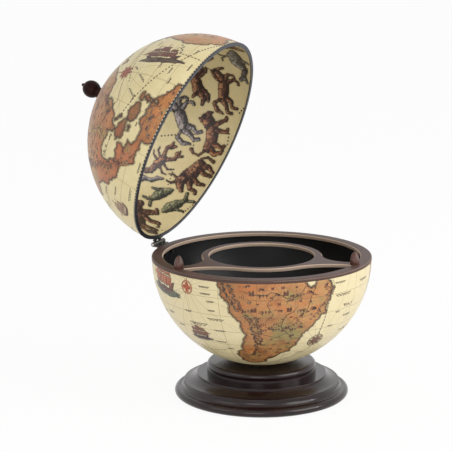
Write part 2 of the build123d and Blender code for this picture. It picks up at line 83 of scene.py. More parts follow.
PRINT_TURN = -156.1  # direction of print longitude 0, degrees from +X
LID_OPEN = max(frame["joints"][0]["range_deg"], key=abs)  # the lid's turn from open to closed
CHART_SHIFT = 63.5  # print longitude of Greenwich on the lid
BOWL_CHART_SHIFT = CHART_SHIFT + 3.0  # and on the bowl
PAPER_AGEING = (0.93, 0.91, 0.84)  # red, green and blue of aged paper as shares of fresh paper's
SKIN_DROP = 0.16 * MM  # shown papers below the solids' surface, so that ink lies inside it


def rotation(angle, axis):
    """Rotation by an angle in degrees about an axis, as an array."""
    return np.array(Matrix.Rotation(radians(angle), 3, axis))


def rim_latitude(points, on_top):
    """Latitude of a dome's rim, from the highest or the lowest of its points."""
    rim = points[np.argmax(points[:, 2]) if on_top else np.argmin(points[:, 2])]
    return degrees(asin(rim[2] / np.linalg.norm(rim)))


class Dome:
    """A printed half of the globe: where a direction of the print lies on the object."""

    def __init__(self, node, body, inside=False):
        points = node_points(node)
        self.node, self.body, self.inside = node, body, inside
        self.centre, inner, outer = fitted_sphere(points)
        self.radius = inner if inside else outer
        self.thickness = outer - inner
        lean = -LID_OPEN if body == "lid" else 0.0
        self.turn = rotation(lean, "X") @ rotation(PRINT_TURN, "Z")
        self.edge = rim_latitude((points - self.centre) @ self.turn, body == "stand")

    def place(self, ray, lift=0.0):
        """Points of the object, at a height above the paper, from unit directions."""
        out = SKIN_DROP - lift if self.inside else lift - SKIN_DROP
        return self.centre + (np.asarray(ray) * (self.radius + out)) @ self.turn.T


def sphere_ray(lon, lat):
    """Unit direction of a longitude and latitude in degrees."""
    lon, lat = np.radians(lon), np.radians(lat)
    return np.stack([np.cos(lat) * np.cos(lon), np.cos(lat) * np.sin(lon), np.sin(lat)], -1)


BOWL = Dome("bowl_map", "stand")
LID = Dome("lid_map", "lid")
LINING = Dome("lid_lining", "lid", inside=True)

# ---- sizes and colours that a user would change


def colour_property(name, description, default):
    """A colour given as it shows on a screen."""
    return FloatVectorProperty(
        name=name, description=description, subtype="COLOR_GAMMA", size=3, min=0, max=1,
        default=default,
    )


class GLOBEBAR_PG_print(bpy.types.PropertyGroup):
    """Papers of the globe and of the lid's inside."""

    paper: colour_property("Lid paper", "Aged paper of the lid", (0.87, 0.81, 0.625))
    bowl_paper: colour_property("Bowl paper", "Aged paper of the bowl", (0.88, 0.825, 0.665))
    ink: colour_property("Ink", "Lines of the chart", (0.22, 0.14, 0.10))
    lining: colour_property("Lining", "Paper inside the lid", (0.87, 0.81, 0.635))
    steps: IntProperty(
        name="Grid steps", description="Faces along one side of a dome's square grid",
        default=310, min=80, max=312,
    )
    graticule: FloatProperty(
        name="Meridian step", description="Angle between printed meridians",
        default=radians(20), subtype="ANGLE",
    )
    gloss: FloatProperty(
        name="Varnish", description="Share of clear varnish on the papers",
        default=0.35, min=0, max=1, subtype="FACTOR",
    )


class GLOBEBAR_PG_wood(bpy.types.PropertyGroup):
    """Turned base, pegs and finial, and the tray board."""

    stain: colour_property("Stain", "Dark mahogany stain of base and finial", (0.085, 0.031, 0.037))
    figure: colour_property("Figure", "Lighter streaks in the stain", (0.15, 0.062, 0.06))
    peg: colour_property("Pegs", "Thinner stain on the guide pegs", (0.285, 0.18, 0.15))
    tray: colour_property("Tray", "Dark brown stain of the tray board", (0.268, 0.192, 0.168))
    # tray edge colour: wear from rubbing on the board's edges together with a painted highlight
    # there
    tray_edge_wear_and_highlight: colour_property("Tray edge", "Rubbed edges of the tray board", (0.90, 0.79, 0.69))
    bare: colour_property("Bare wood", "Dowels and saddle block", (0.76, 0.64, 0.48))


class GLOBEBAR_PG_metal(bpy.types.PropertyGroup):
    """Hinge, screws and bolt."""

    bronze: colour_property("Bronze", "Dark bronzed brass of the hinge", (0.40, 0.39, 0.36))
    steel: colour_property("Steel", "Bright steel", (0.70, 0.69, 0.67))


class GLOBEBAR_PG_stage(bpy.types.PropertyGroup):
    """Camera, lamps and floor."""

    lens: FloatProperty(
        name="Lens", description="Focal length on a 36 mm sensor", default=159.24,
        subtype="DISTANCE_CAMERA",
    )
    ambient: FloatProperty(name="Ambient", description="Light from all round", default=0.66, min=0)
    key: FloatProperty(
        name="Key lamp", description="Power of the lamp at the right", default=52.0,
        subtype="POWER",
    )
    fill: FloatProperty(
        name="Fill lamp", description="Power of the lamp at the left", default=9.0,
        subtype="POWER",
    )
    glint: FloatProperty(
        name="Glint lamp", description="Power of the small lamp that draws highlights",
        default=5.0, subtype="POWER",
    )
    low: FloatProperty(
        name="Low lamp", description="Power of the low lamp below the camera", default=14.0,
        subtype="POWER",
    )


# ---- shader maths


class Wire:
    """An output of a node, with arithmetic that adds Math nodes."""

    def __init__(self, nodes, socket):
        self.nodes, self.socket = nodes, socket

    def __add__(self, other):
        return self.nodes.math("ADD", self, other)

    def __sub__(self, other):
        return self.nodes.math("SUBTRACT", self, other)

    def __rsub__(self, other):
        return self.nodes.math("SUBTRACT", other, self)

    def __mul__(self, other):
        return self.nodes.math("MULTIPLY", self, other)

    def __truediv__(self, other):
        return self.nodes.math("DIVIDE", self, other)

    def __abs__(self):
        return self.nodes.math("ABSOLUTE", self)

    __radd__ = __add__
    __rmul__ = __mul__


def linear(colour):
    """A screen colour as scene light."""
    return [c / 12.92 if c <= 0.04045 else ((c + 0.055) / 1.055) ** 2.4 for c in colour] + [1.0]


class Nodes:
    """A tree of shader nodes in the making."""

    def __init__(self, tree):
        self.tree = tree

    def node(self, kind, settings=(), inputs=(), output=0):
        """Add a node: its settings, then the values or links of its sockets."""
        made = self.tree.nodes.new(kind)
        for name, value in dict(settings).items():
            if name == "stops":
                ramp = made.color_ramp
                while len(ramp.elements) < len(value):
                    ramp.elements.new(1.0)
                for element, (place, colour) in zip(ramp.elements, value):
                    element.position, element.color = place, colour
            else:
                setattr(made, name, value)
        for key, value in dict(inputs).items():
            if isinstance(value, Wire):
                self.tree.links.new(value.socket, made.inputs[key])
            else:
                made.inputs[key].default_value = value
        return Wire(self, made.outputs[output])

    def math(self, operation, *values, clamp=False):
        """Work out one step on numbers."""
        return self.node(
            "ShaderNodeMath", {"operation": operation, "use_clamp": clamp}, enumerate(values)
        )

    def vector(self, operation, *values, output=0):
        """Work out one step on vectors."""
        return self.node(
            "ShaderNodeVectorMath", {"operation": operation}, enumerate(values), output
        )

    def clamp(self, value):
        """Keep a value between 0 and 1."""
        return self.math("ADD", value, 0.0, clamp=True)

    def mix(self, share, first, second, blend="MIX"):
        """Blend two colours."""
        return self.node(
            "ShaderNodeMix",
            {"data_type": "RGBA", "blend_type": blend},
            {0: share, 6: first, 7: second},
            2,
        )

    def noise(self, place, scale, detail=3.0, roughness=0.5):
        """Cloudy noise from 0 to 1."""
        return self.node(
            "ShaderNodeTexNoise",
            {},
            {"Vector": place, "Scale": scale, "Detail": detail, "Roughness": roughness},
        )

    def attribute(self, name, output=2):
        """A value that the mesh carries: colour 0, vector 1 or number 2."""
        return self.node("ShaderNodeAttribute", {"attribute_name": name}, (), output)

    def axes(self, vector):
        """The three numbers of a vector."""
        split = self.node("ShaderNodeSeparateXYZ", (), {0: vector}).socket.node
        return [Wire(self, out) for out in split.outputs]

    def stretched(self, vector, scale):
        """A vector with each axis scaled."""
        return self.vector("MULTIPLY", vector, scale)

    def stripe(self, distance, half_width, softness):
        """1 on a line, 0 away from it, from the distance to its middle."""
        return self.clamp((half_width - distance) / softness + 0.5)

    def nearest(self, value, period):
        """Distance from a value to the nearest multiple of a period."""
        return self.math("PINGPONG", value, period / 2)

    def seen_rays(self):
        """1 for what the camera, a mirror or glass sees, 0 for light."""
        paths = self.node("ShaderNodeLightPath").socket.node.outputs
        kinds = ("Camera", "Glossy", "Transmission")
        camera, mirror, glass = (Wire(self, paths[f"Is {kind} Ray"]) for kind in kinds)
        return self.math("MAXIMUM", self.math("MAXIMUM", camera, mirror), glass)


class Finish(Nodes):
    """A material in the making, round its Principled shader."""

    def __init__(self, name, **uniform):
        self.material = bpy.data.materials.new(name)
        self.material.use_nodes = True
        super().__init__(self.material.node_tree)
        self.shader = self.tree.nodes["Principled BSDF"]
        for socket, value in uniform.items():
            socket = socket.replace("_", " ").title().replace("Ior", "IOR")
            self.shader.inputs[socket].default_value = value

    def bump(self, height, strength, distance):
        """Let a height stand out of the surface."""
        self.feed(Normal=self.node(
            "ShaderNodeBump", {}, {"Strength": strength, "Distance": distance, "Height": height}
        ))

    def feed(self, **wires):
        """Link values to the shader."""
        for name, wire in wires.items():
            self.tree.links.new(wire.socket, self.shader.inputs[name.replace("_", " ")])


# ---- meshes


def new_piece(name, points, faces, body, finish, smooth=True):
    """A mesh object that rides on a body and wears a finish."""
    mesh = bpy.data.meshes.new(name)
    mesh.from_pydata([tuple(p) for p in points], [], [tuple(f) for f in faces])
    mesh.polygons.foreach_set("use_smooth", [smooth] * len(mesh.polygons))
    mesh.materials.append(finish.material)
    mesh.update()
    piece = bpy.data.objects.new(name, mesh)
    bpy.context.scene.collection.objects.link(piece)
    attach(piece, body)
    return piece


def carry(mesh, name, kind, values):
    """Store a value at every vertex."""
    field = {"FLOAT": "value", "FLOAT_VECTOR": "vector", "FLOAT_COLOR": "color"}[kind]
    layer = mesh.attributes.new(name, kind, "POINT")
    layer.data.foreach_set(field, np.asarray(values, np.float32).ravel())


def dome_grid(dome, steps):
    """Even square grid wrapped over a dome: directions, faces and the rim's points in order."""
    side = np.linspace(-1, 1, steps + 1)
    a, b = np.meshgrid(side, side, indexing="ij")
    wide = np.abs(a) >= np.abs(b)
    with np.errstate(divide="ignore", invalid="ignore"):
        angle = np.where(wide, pi / 4 * b / a, pi / 2 - pi / 4 * a / b)
    angle[np.isnan(angle)] = 0
    reach = np.where(wide, a, b)
    x, y = reach * np.cos(angle), reach * np.sin(angle)
    pole = 1 if dome.edge >= 0 else -1
    height = 1 - (x**2 + y**2) * (1 - abs(sin(radians(dome.edge))))
    across = np.sqrt(np.maximum(0, 1 - height**2))
    lon = np.arctan2(y, x)
    rays = np.stack([across * np.cos(lon), across * np.sin(lon), pole * height], -1)
    index = np.arange((steps + 1) ** 2).reshape(steps + 1, steps + 1)
    quads = np.stack([index[:-1, :-1], index[1:, :-1], index[1:, 1:], index[:-1, 1:]], -1)
    quads = quads.reshape(-1, 4)
    rim = np.concatenate([index[:-1, 0], index[-1, :-1], index[:0:-1, -1], index[0, :0:-1]])
    if (pole < 0) != dome.inside:
        quads, rim = quads[:, ::-1], rim[::-1]
    return rays.reshape(-1, 3), quads, rim


def dome_piece(name, dome, finish, steps):
    """The visible paper of a dome: its face and the thickness at its rim."""
    rays, quads, rim = dome_grid(dome, steps)
    points = dome.place(rays)
    back = dome.place(rays[rim], -dome.thickness)
    first = len(points)
    low = first + np.arange(len(rim))
    lip = np.stack([np.roll(rim, -1), rim, low, np.roll(low, -1)], -1)
    piece = new_piece(
        name, np.concatenate([points, back]), np.concatenate([quads, lip]).tolist(),
        dome.body, finish,
    )
    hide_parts(dome.node)
    rays = np.concatenate([rays, rays[rim]])
    carry(piece.data, "ray", "FLOAT_VECTOR", rays)
    return piece, rays


# ---- chart: outlines in degrees, of the print for the Americas and true ones for the rest

AMERICAS_ABOVE = [
    (-15, -3), (-15, 1), (-16.4, 6.8), (-20.7, 5.9), (-29.2, 6.4), (-31, 9.7), (-36.4, 14.9),
    (-44.4, 17.1), (-51.6, 20.1), (-53.5, 24.9), (-59.6, 28.7), (-78, 31.5), (-92, 38),
    (-106, 43), (-116, 49), (-130, 54), (-138, 59), (-131, 65), (-112, 69), (-95, 68), (-78, 71),
    (-62, 69), (-48, 72), (-32, 69), (-20, 71), (-8, 66), (2, 67), (10, 61), (16, 62), (24, 58),
    (24, 53), (17.3, 49.6), (13.5, 47.7), (10.7, 45.3), (5.9, 44), (-0.3, 43), (-4, 42),
    (-5, 36.3), (-9.3, 33), (-16.4, 28.7), (-18.3, 25.4), (-19.7, 25.8), (-21.6, 31.5),
    (-30, 31), (-37.8, 30.1), (-38.3, 23), (-34, 19.7), (-30.2, 18.7), (-29.2, 20.1),
    (-24.5, 20.1), (-24.5, 15.9), (-27.3, 14.4), (-19.7, 14.4), (-20.2, 10.6), (-15, 9.2),
    (-11.2, 9.2), (-5.5, 11.6), (-0.7, 11.6), (6.9, 9.2), (10.2, 5.9), (14.5, 4), (18.7, 2.1),
    (18.3, 0), (24, -3),
]
AMERICAS_BELOW = [
    (-22.5, 3), (-22.5, -1), (-21.3, -7.5), (-16.9, -12.5), (-15.6, -18.8), (-11.3, -23.8),
    (-10, -30), (-11.3, -37.5), (-12.5, -43.8), (-16.3, -45.6), (-18.1, -50), (-16.9, -57.5),
    (-10, -61), (-3, -60.5), (3.8, -58.8), (5, -53.8), (11.3, -50.6), (20, -46), (23, -40.6),
    (23.8, -36), (28, -29.4), (31.3, -23.8), (36.9, -19.4), (38, -12.5), (40, -6.3),
    (35.6, -1.3), (33, 3), (29, 3), (28.6, -1), (26.6, -4.2), (24, -3.6), (22.3, -0.5), (22, 3),
]
ISLANDS_ABOVE = [
    [(-23.4, 22.6), (-20.6, 24.2), (-17, 24.4), (-12.5, 22.6), (-8.4, 20.4), (-9.6, 19.2),
     (-13, 19.6), (-17, 19.2), (-21, 19.4)],
    [(-10.2, 17.6), (-7.5, 20.2), (-3.5, 21), (0.2, 19.4), (1, 17.9), (-1.5, 15.6), (-5.5, 14.9),
     (-8.8, 15.8)],
    [(1.9, 17.4), (3.4, 18.8), (6.4, 18.8), (7.6, 17.8), (5.4, 16.7), (2.6, 16.6)],
    [(-15.5, 17.2), (-12.6, 17.6), (-12.4, 16.4), (-15, 16.1)],
    *([(x - 1.5, y), (x - 0.4, y + 0.8), (x + 1.3, y + 0.6), (x + 1.5, y - 0.3), (x, y - 0.9)]
      for x, y in ((5.2, 14.7), (4.3, 12.9), (4.1, 10.9), (4.8, 8.6))),
    [(-13.5, 28.5), (-12, 26.8), (-12.9, 26.1), (-14.3, 27.6)],
    [(-11, 26.4), (-9.2, 24.6), (-10.1, 24.1), (-11.6, 25.6)],
    [(26.5, 50.6), (29.5, 51.5), (31, 48.6), (28, 47)],
]
AFRICA = [
    (-6, 35.5), (0, 36.2), (10, 37), (11, 33.5), (15, 32), (20, 31), (25, 32), (31, 31),
    (33, 29), (35, 24), (37, 20), (40, 15), (43, 11.5), (51, 11.8), (48, 5), (43, -1), (40, -6),
    (40.5, -14), (36, -19), (35, -24), (32.5, -27), (28, -33), (20, -34.8), (17, -30),
    (14, -22), (12, -16), (13.5, -9), (9.5, -1), (9.5, 3.6), (5, 4.4), (0, 2.4), (-4.5, 0.8),
    (-8.2, 4), (-12.9, 8.7), (-14.8, 13.5), (-15.3, 19.2), (-12, 24.9), (-6.8, 29.6),
]
EURASIA = [
    (-9, 37), (-9.5, 43), (-2, 43.5), (-1.5, 46), (-4.5, 48.5), (2, 51), (8, 54), (8.5, 57),
    (11, 56), (11, 54), (20, 54.5), (24, 58), (30, 60), (23, 60), (22, 63), (25, 65.5),
    (20, 64), (17, 61), (18, 59), (14, 55.5), (11, 59), (5, 59), (5, 62), (12, 66), (18, 70),
    (26, 71), (40, 67), (33, 66), (40, 64), (44, 67), (55, 68.5), (68, 69), (73, 72), (80, 73),
    (100, 77), (113, 74), (130, 71.5), (150, 72), (170, 70), (180, 68.5), (190, 66),
    (180, 62.5), (170, 60), (163, 58), (162, 54), (156, 51), (156, 58), (163, 62), (155, 59.5),
    (142, 59), (135, 54.5), (141, 52.5), (138, 47), (130, 42.5), (127.5, 39.5), (129.5, 36),
    (126.5, 34.5), (125, 38), (121, 39.5), (118, 39), (122, 37), (119, 34.5), (122, 30.5),
    (119, 25.5), (114, 22.3), (108.5, 21.5), (106, 18.5), (109, 13), (106, 9), (103, 11),
    (100.5, 13.5), (99.5, 9.5), (103.5, 2), (101, 3), (98.5, 8), (98, 15), (94.5, 16),
    (91.5, 22.5), (87, 21.5), (80.5, 15.5), (80, 10.5), (77.5, 8), (74, 15), (72.5, 21),
    (69, 22), (66.5, 25), (57, 25.5), (51, 29), (48.5, 30), (50, 26.5), (54, 24), (56.5, 26),
    (59.5, 22.5), (55, 17.5), (45, 12.8), (42.5, 15), (39, 21.5), (35, 28.5), (34.5, 31.5),
    (36, 36), (30.5, 36.5), (27, 37), (27, 40), (35, 42), (41.5, 41.5), (38, 45), (39, 47),
    (33.5, 45), (30.5, 46), (28, 42.5), (26, 40.5), (23, 40.5), (24, 38), (22.5, 36.5),
    (20, 40), (19, 42), (13.5, 45.5), (12.5, 44), (16, 41.5), (18.3, 40), (16.5, 38.3),
    (15.5, 40), (10.5, 43), (8, 44.2), (3.5, 43.3), (0.5, 40), (-1, 37.5), (-5.3, 36.4),
]
FAR_ISLANDS = [
    [(49, 41.5), (47.5, 44), (51.5, 46.5), (53, 44), (53.5, 38.5), (50, 37.5)],
    [(114, -22), (114, -34), (118, -35), (124, -33), (131, -31.5), (138, -34.5), (141, -38),
     (147, -39), (150, -37.5), (153, -31), (153, -25), (146, -19), (142.5, -11),
     (140.5, -17.5), (136, -15.5), (136.5, -12), (131, -11.5), (126, -14.5), (122, -18)],
    [(131, -1.5), (138, -2), (147, -6.5), (150.5, -10.5), (143, -8.5), (137, -5), (133, -4)],
    [(109, 1.5), (113, 3), (117, 7), (119, 4.5), (117.5, 1), (116, -4), (110.5, -3)],
    [(95.5, 5.5), (100, 2.5), (106, -3), (105.5, -6), (101, -3), (97.5, 1)],
    [(105.5, -6.5), (108.5, -6.6), (114.5, -7.5), (114, -8.7), (107, -7.8)],
    [(119, -5), (119.5, 1), (124.5, 1.3), (121, 0), (123, -4.5), (120.5, -2.5)],
    [(120.5, 18.5), (122.5, 18), (121.5, 14), (125.5, 10.5), (126, 6.5), (122.5, 7),
     (122, 11.5), (119.7, 15.5)],
    [(130, 31.5), (131, 34), (136.5, 36.8), (140, 41), (142, 39.5), (140.5, 35.5),
     (135.5, 33.5)],
    [(140, 42), (141.8, 45.5), (145.3, 43.5), (143, 42)],
    [(80, 9.5), (82, 7), (80.5, 6)],
    [(44, -24), (43.5, -17), (49.5, -12), (50.3, -16), (47, -25)],
    [(-5.5, 50), (-3, 53.5), (-5, 58.5), (-2, 57.7), (-1.5, 55), (1.7, 52.5), (1, 51)],
    [(-10, 51.6), (-10, 54.3), (-6.5, 55.2), (-6, 52.3)],
    [(-24, 65.5), (-22.5, 64), (-18.5, 63.4), (-13.7, 65), (-16, 66.5), (-21, 66)],
    [(-36, 63), (-40, 68), (-43, 73), (-52, 78), (-50, 82), (-28, 83), (-15, 80), (-18, 74),
     (-22, 70), (-27, 66), (-31, 62)],
    [(145, -41), (148.2, -41), (147.5, -43.5), (146, -43.5)],
    [(173, -34.5), (178.5, -37.7), (176, -41.3), (174, -39.3)],
    [(172.5, -40.7), (174, -41.5), (170.5, -45.8), (167, -46.5), (168.5, -44)],
    [(8.5, 41.2), (9.8, 40.8), (9.4, 39.2), (8.4, 39)],
    [(12.6, 38), (15.4, 38.2), (15, 36.8)],
    [(24, 35.5), (26.3, 35.2), (24, 35)],
    [(32.5, 35), (34.4, 35.6), (33, 34.6)],
    [(-60, -51.6), (-58, -51.4), (-58.6, -52.3), (-60.6, -52.2)],
    [(-178, -17.4), (-176, -17.2), (-176.6, -18.4), (-178, -18.5)],
    [(-157, 21.2), (-155, 20.2), (-155.6, 19), (-157, 20)],
]

# wash colours of the land, each at a place: print longitude, latitude, colour
WASHES = [
    (8, -8, (0.765, 0.565, 0.375)), (26, -14, (0.78, 0.60, 0.40)), (-4, -28, (0.735, 0.53, 0.345)),
    (14, -33, (0.62, 0.58, 0.37)), (4, -45, (0.74, 0.56, 0.37)), (-6, -56, (0.72, 0.55, 0.36)),
    (2, 5, (0.77, 0.53, 0.33)), (-28, 14, (0.735, 0.48, 0.355)), (-44, 24, (0.75, 0.49, 0.33)),
    (-14, 36, (0.745, 0.55, 0.385)), (-60, 42, (0.74, 0.60, 0.42)), (-20, 58, (0.74, 0.55, 0.37)),
    (-100, 60, (0.79, 0.67, 0.47)), (66, 26, (0.77, 0.61, 0.42)), (82, 10, (0.76, 0.53, 0.35)),
    (88, -18, (0.79, 0.65, 0.44)), (64, 48, (0.70, 0.64, 0.43)), (88, 58, (0.79, 0.62, 0.42)),
    (108, 24, (0.66, 0.62, 0.41)), (140, 22, (0.75, 0.51, 0.35)), (130, 48, (0.80, 0.67, 0.46)),
    (168, 34, (0.76, 0.56, 0.37)), (-168, 30, (0.70, 0.63, 0.42)), (-150, 58, (0.77, 0.58, 0.39)),
    (-163, -25, (0.78, 0.64, 0.43)), (-4, 17.6, (0.53, 0.40, 0.25)), (4.6, 13, (0.53, 0.40, 0.25)),
    (4, 17.6, (0.53, 0.40, 0.25)), (-17, 21.6, (0.59, 0.38, 0.26)), (3, 7.4, (0.70, 0.47, 0.23)),
    (-8, 9.4, (0.68, 0.46, 0.24)), (30, 74, (0.80, 0.71, 0.52)), (-178, -2, (0.74, 0.52, 0.36)),
    (110, -20, (0.72, 0.52, 0.35)),
]
WASH_DEPTH = (0.945, 0.90, 0.84)  # the washes as printed, each colour part deepened


def weathered(outline, seed):
    """Roughen an outline by moving the middles of its sides, again and again."""
    finest, swing = 0.5, 0.26  # degrees, and a share of a side
    narrowest = 0.15  # least width of a degree of longitude, in degrees of latitude
    draw = random.Random(seed)
    points = list(outline)
    while True:
        grown, moved = [], False
        for (x0, y0), (x1, y1) in zip(points, points[1:] + points[:1]):
            grown.append((x0, y0))
            squeeze = max(narrowest, cos(radians((y0 + y1) / 2)))
            dx, dy = (x1 - x0) * squeeze, y1 - y0
            if hypot(dx, dy) > finest:
                shift = swing * draw.uniform(-1, 1)
                grown.append(((x0 + x1) / 2 - dy * shift / squeeze, (y0 + y1) / 2 + dx * shift))
                moved = True
        points = grown
        if not moved:
            return points


def chart_outlines(above):
    """Every outline of one half of the globe, roughened, in print degrees."""
    near = [AMERICAS_ABOVE, *ISLANDS_ABOVE] if above else [AMERICAS_BELOW]
    shift, side = (CHART_SHIFT, 1) if above else (BOWL_CHART_SHIFT, -1)
    far = [[(x + shift, y) for x, y in part] for part in (AFRICA, EURASIA, *FAR_ISLANDS)]
    beyond = -4  # degrees past the equator, up to which an outline still counts
    wanted = [part for part in near + far if max(side * y for _, y in part) > beyond]
    return [weathered(part, seed) for seed, part in enumerate(wanted)]


def inside_outlines(lon, lat, outlines):
    """Which points lie on land: an odd number of outlines' sides to their right."""
    order = np.argsort(lat)
    sorted_lat, sorted_lon = lat[order], lon[order]
    land = np.zeros(len(lon), bool)
    for outline in outlines:
        ring = np.array(outline + outline[:1])
        for turn in (-360, 0, 360):
            x = ring[:, 0] + turn
            if x.min() > 180 or x.max() < -180:
                continue
            for x0, y0, x1, y1 in zip(x[:-1], ring[:-1, 1], x[1:], ring[1:, 1]):
                low, high = min(y0, y1), max(y0, y1)
                i, j = np.searchsorted(sorted_lat, (low, high))
                if i < j:
                    crossing = x0 + (sorted_lat[i:j] - y0) * (x1 - x0) / (y1 - y0)
                    land[i:j] ^= sorted_lon[i:j] < crossing
    result = np.empty(len(lon), bool)
    result[order] = land
    return result


def shore_distance(rays, outlines, radius):
    """Millimetres to the nearest coast, negative on land."""
    spacing = 0.35
    samples = []
    for outline in outlines:
        ring = sphere_ray(*np.array(outline + outline[:1]).T)
        for start, end in zip(ring[:-1], ring[1:]):
            count = max(1, int(np.linalg.norm(end - start) * radius / MM / spacing))
            share = np.arange(count)[:, None] / count
            samples.append(start + (end - start) * share)
    samples = np.concatenate(samples)
    tree = KDTree(len(samples))
    for i, point in enumerate(samples.tolist()):
        tree.insert(point, i)
    tree.balance()
    away = np.array([tree.find(ray)[2] for ray in rays.tolist()]) * radius / MM
    lon = np.degrees(np.arctan2(rays[:, 1], rays[:, 0]))
    lat = np.degrees(np.arcsin(np.clip(rays[:, 2], -1, 1)))
    return np.where(inside_outlines(lon, lat, outlines), -away, away)


def wash_colours(rays):
    """Wash colours given at listed places, each fading into its neighbours."""
    places = sphere_ray(*np.array([w[:2] for w in WASHES]).T)
    colours = np.array([linear(np.multiply(w[2], WASH_DEPTH)) for w in WASHES])
    blur, fade = 0.02, 5
    apart = np.arccos(np.clip(rays @ places.T, -1, 1)) + blur
    weight = apart**-fade
    return (weight @ colours) / weight.sum(1, keepdims=True)


def on_fibres(finish, ray, colour, roughness):
    """Close a print's finish, with the paper's fibres in its colour and its surface."""
    fibre = finish.noise(ray, 420.0, 2.0, 0.7)
    weave = finish.node("ShaderNodeCombineColor", (), {0: fibre, 1: fibre, 2: fibre * 0.9})
    finish.feed(Base_Color=finish.mix(0.12, colour, weave, "OVERLAY"), Roughness=roughness)
    finish.bump(fibre, 0.06, 0.0002)
    return finish


def chart_finish(name, dome, settings, paper_colour, roses):
    """Printed chart: paper, washed land, coasts with hatching, graticule and rhumb lines."""
    finish = Finish(name, coat_roughness=0.25, specular_ior_level=0.35, coat_weight=settings.gloss)
    radius = dome.radius / MM
    ray = finish.attribute("ray", 1)
    x, y, z = finish.axes(finish.vector("NORMALIZE", ray))
    lat = finish.math("ARCSINE", z)
    lon = finish.math("ARCTAN2", y, x)
    breadth = finish.math("SQRT", 1 - z * z) * radius

    cloud = finish.noise(ray, 2.2, 4.0, 0.6)
    blotch = finish.noise(ray, 9.0, 6.0, 0.65)
    patches = finish.noise(finish.stretched(ray, (1.0, 1.0, 1.6)), 6.5, 5.0, 0.6)
    rough = finish.noise(ray, 60.0, 3.0, 0.6)
    speck = finish.noise(ray, 130.0, 2.0, 0.6)
    shore = finish.attribute("shore") + (rough - 0.5) * 2.4

    aged = [part * share for part, share in zip(paper_colour, PAPER_AGEING)]
    paper = finish.mix(cloud * 0.55, linear(paper_colour), linear(aged))
    paper = finish.mix(finish.clamp(blotch * 1.6 - 0.75), paper, linear((0.92, 0.87, 0.715)))
    paper = finish.mix(finish.clamp((0.46 - speck) * 4) * 0.42, paper, linear((0.64, 0.54, 0.34)))

    land = finish.attribute("wash", 0)
    land = finish.mix(finish.clamp((patches - 0.50) * 5) * 0.55, land, linear((0.76, 0.43, 0.20)))
    land = finish.mix(
        finish.clamp((0.455 - patches) * 7) * 0.85, land, linear((0.56, 0.525, 0.315))
    )
    land = finish.mix(finish.clamp((blotch - 0.53) * 4) * 0.55, land, linear((0.79, 0.59, 0.35)))
    land = finish.mix(finish.clamp((0.49 - blotch) * 5) * 0.60, land, linear((0.47, 0.27, 0.17)))
    land = finish.mix(finish.clamp((0.44 - speck) * 5) * 0.45, land, linear((0.42, 0.26, 0.15)))
    contour = finish.nearest(finish.noise(ray, 15.0, 2.0, 0.5) * 9, 1.0)
    land = finish.mix(finish.stripe(contour, 0.05, 0.05) * 0.55, land, linear(settings.ink))
    shade = finish.clamp(1 + shore / 5.0)
    land = finish.mix(shade * shade * 0.75, land, linear((0.46, 0.26, 0.155)))
    is_land = finish.clamp(0.5 - shore / 0.2)
    colour = finish.mix(is_land, paper, land)

    ink = linear(settings.ink)
    rows = finish.stripe(finish.nearest(lat * radius, 1.5), 0.36, 0.25)
    reach = rough * 8.0 - 1.2
    fringe = finish.clamp((reach - shore) / 0.6) * (1 - is_land)
    colour = finish.mix(fringe * (rows * 0.5 + 0.35), colour, ink)
    tide = finish.clamp(1 - abs(shore) / 3.0) * (1 - is_land)
    colour = finish.mix(tide * 0.66, colour, linear((0.40, 0.33, 0.18)))
    colour = finish.mix(finish.stripe(abs(shore), 0.66, 0.35) * 0.94, colour, ink)

    meridian_shift = radians(2.6)
    meridian = finish.nearest(lon + meridian_shift, settings.graticule) * breadth
    parallel = finish.nearest(lat, radians(10)) * radius
    lines = finish.math("MAXIMUM", finish.stripe(meridian, 0.3, 0.2),
                        finish.stripe(parallel, 0.3, 0.2))
    for rose_lon, rose_lat in roses:
        centre = sphere_ray(rose_lon, rose_lat)
        east = sphere_ray(rose_lon + 90, 0)
        north = np.cross(centre, east)
        ahead = finish.vector("DOT_PRODUCT", ray, tuple(north), output=1)
        side = finish.vector("DOT_PRODUCT", ray, tuple(east), output=1)
        near = finish.vector("DOT_PRODUCT", ray, tuple(centre), output=1)
        bearing = finish.math("ARCTAN2", side, ahead)
        away = finish.math("SQRT", 1 - near * near) * radius
        rhumb = finish.nearest(bearing, pi / 8) * away
        seen = finish.clamp((near - 0.45) * 4)
        lines = finish.math("MAXIMUM", lines, finish.stripe(rhumb, 0.24, 0.2) * seen * 0.8)
    colour = finish.mix(lines * 0.62, colour, linear((0.38, 0.29, 0.18)))

    if dome.edge > 0:
        half_band, half_tick, line_at = 0.75, 1.45, 1.7  # millimetres of the scale at the rim
        rim = abs(lat) * radius - abs(radians(dome.edge)) * radius
        along = finish.nearest(lon, radians(2)) * radius
        tick = finish.clamp((along - half_tick) / 0.2 + 0.5)
        band = finish.stripe(abs(rim - half_band), half_band, 0.15)
        colour = finish.mix(band, colour, linear((0.84, 0.79, 0.66)))
        colour = finish.mix(band * tick, colour, linear((0.10, 0.10, 0.12)))
        colour = finish.mix(finish.stripe(abs(rim - line_at), 0.14, 0.15), colour, ink)

    return on_fibres(finish, ray, colour, 0.40 + blotch * 0.16)


BOWL_ROSES = [(37.5, -39), (-41.3, -6.3), (150, -30)]  # where rhumb lines meet on the bowl
LID_ROSES = [(16.8, 39.8), (-120, 28), (-172, 52)]  # and on the lid


def lay_chart(name, dome, settings, above, roses):
    """Make a chart's dome with its coasts and washes."""
    paper = settings.paper if above else settings.bowl_paper
    finish = chart_finish(f"{name}_paper", dome, settings, paper, roses)
    piece, rays = dome_piece(name, dome, finish, settings.steps)
    carry(piece.data, "shore", "FLOAT", shore_distance(rays, chart_outlines(above), dome.radius))
    carry(piece.data, "wash", "FLOAT_COLOR", wash_colours(rays))


# ---- printed ornaments: thin shapes laid on the paper


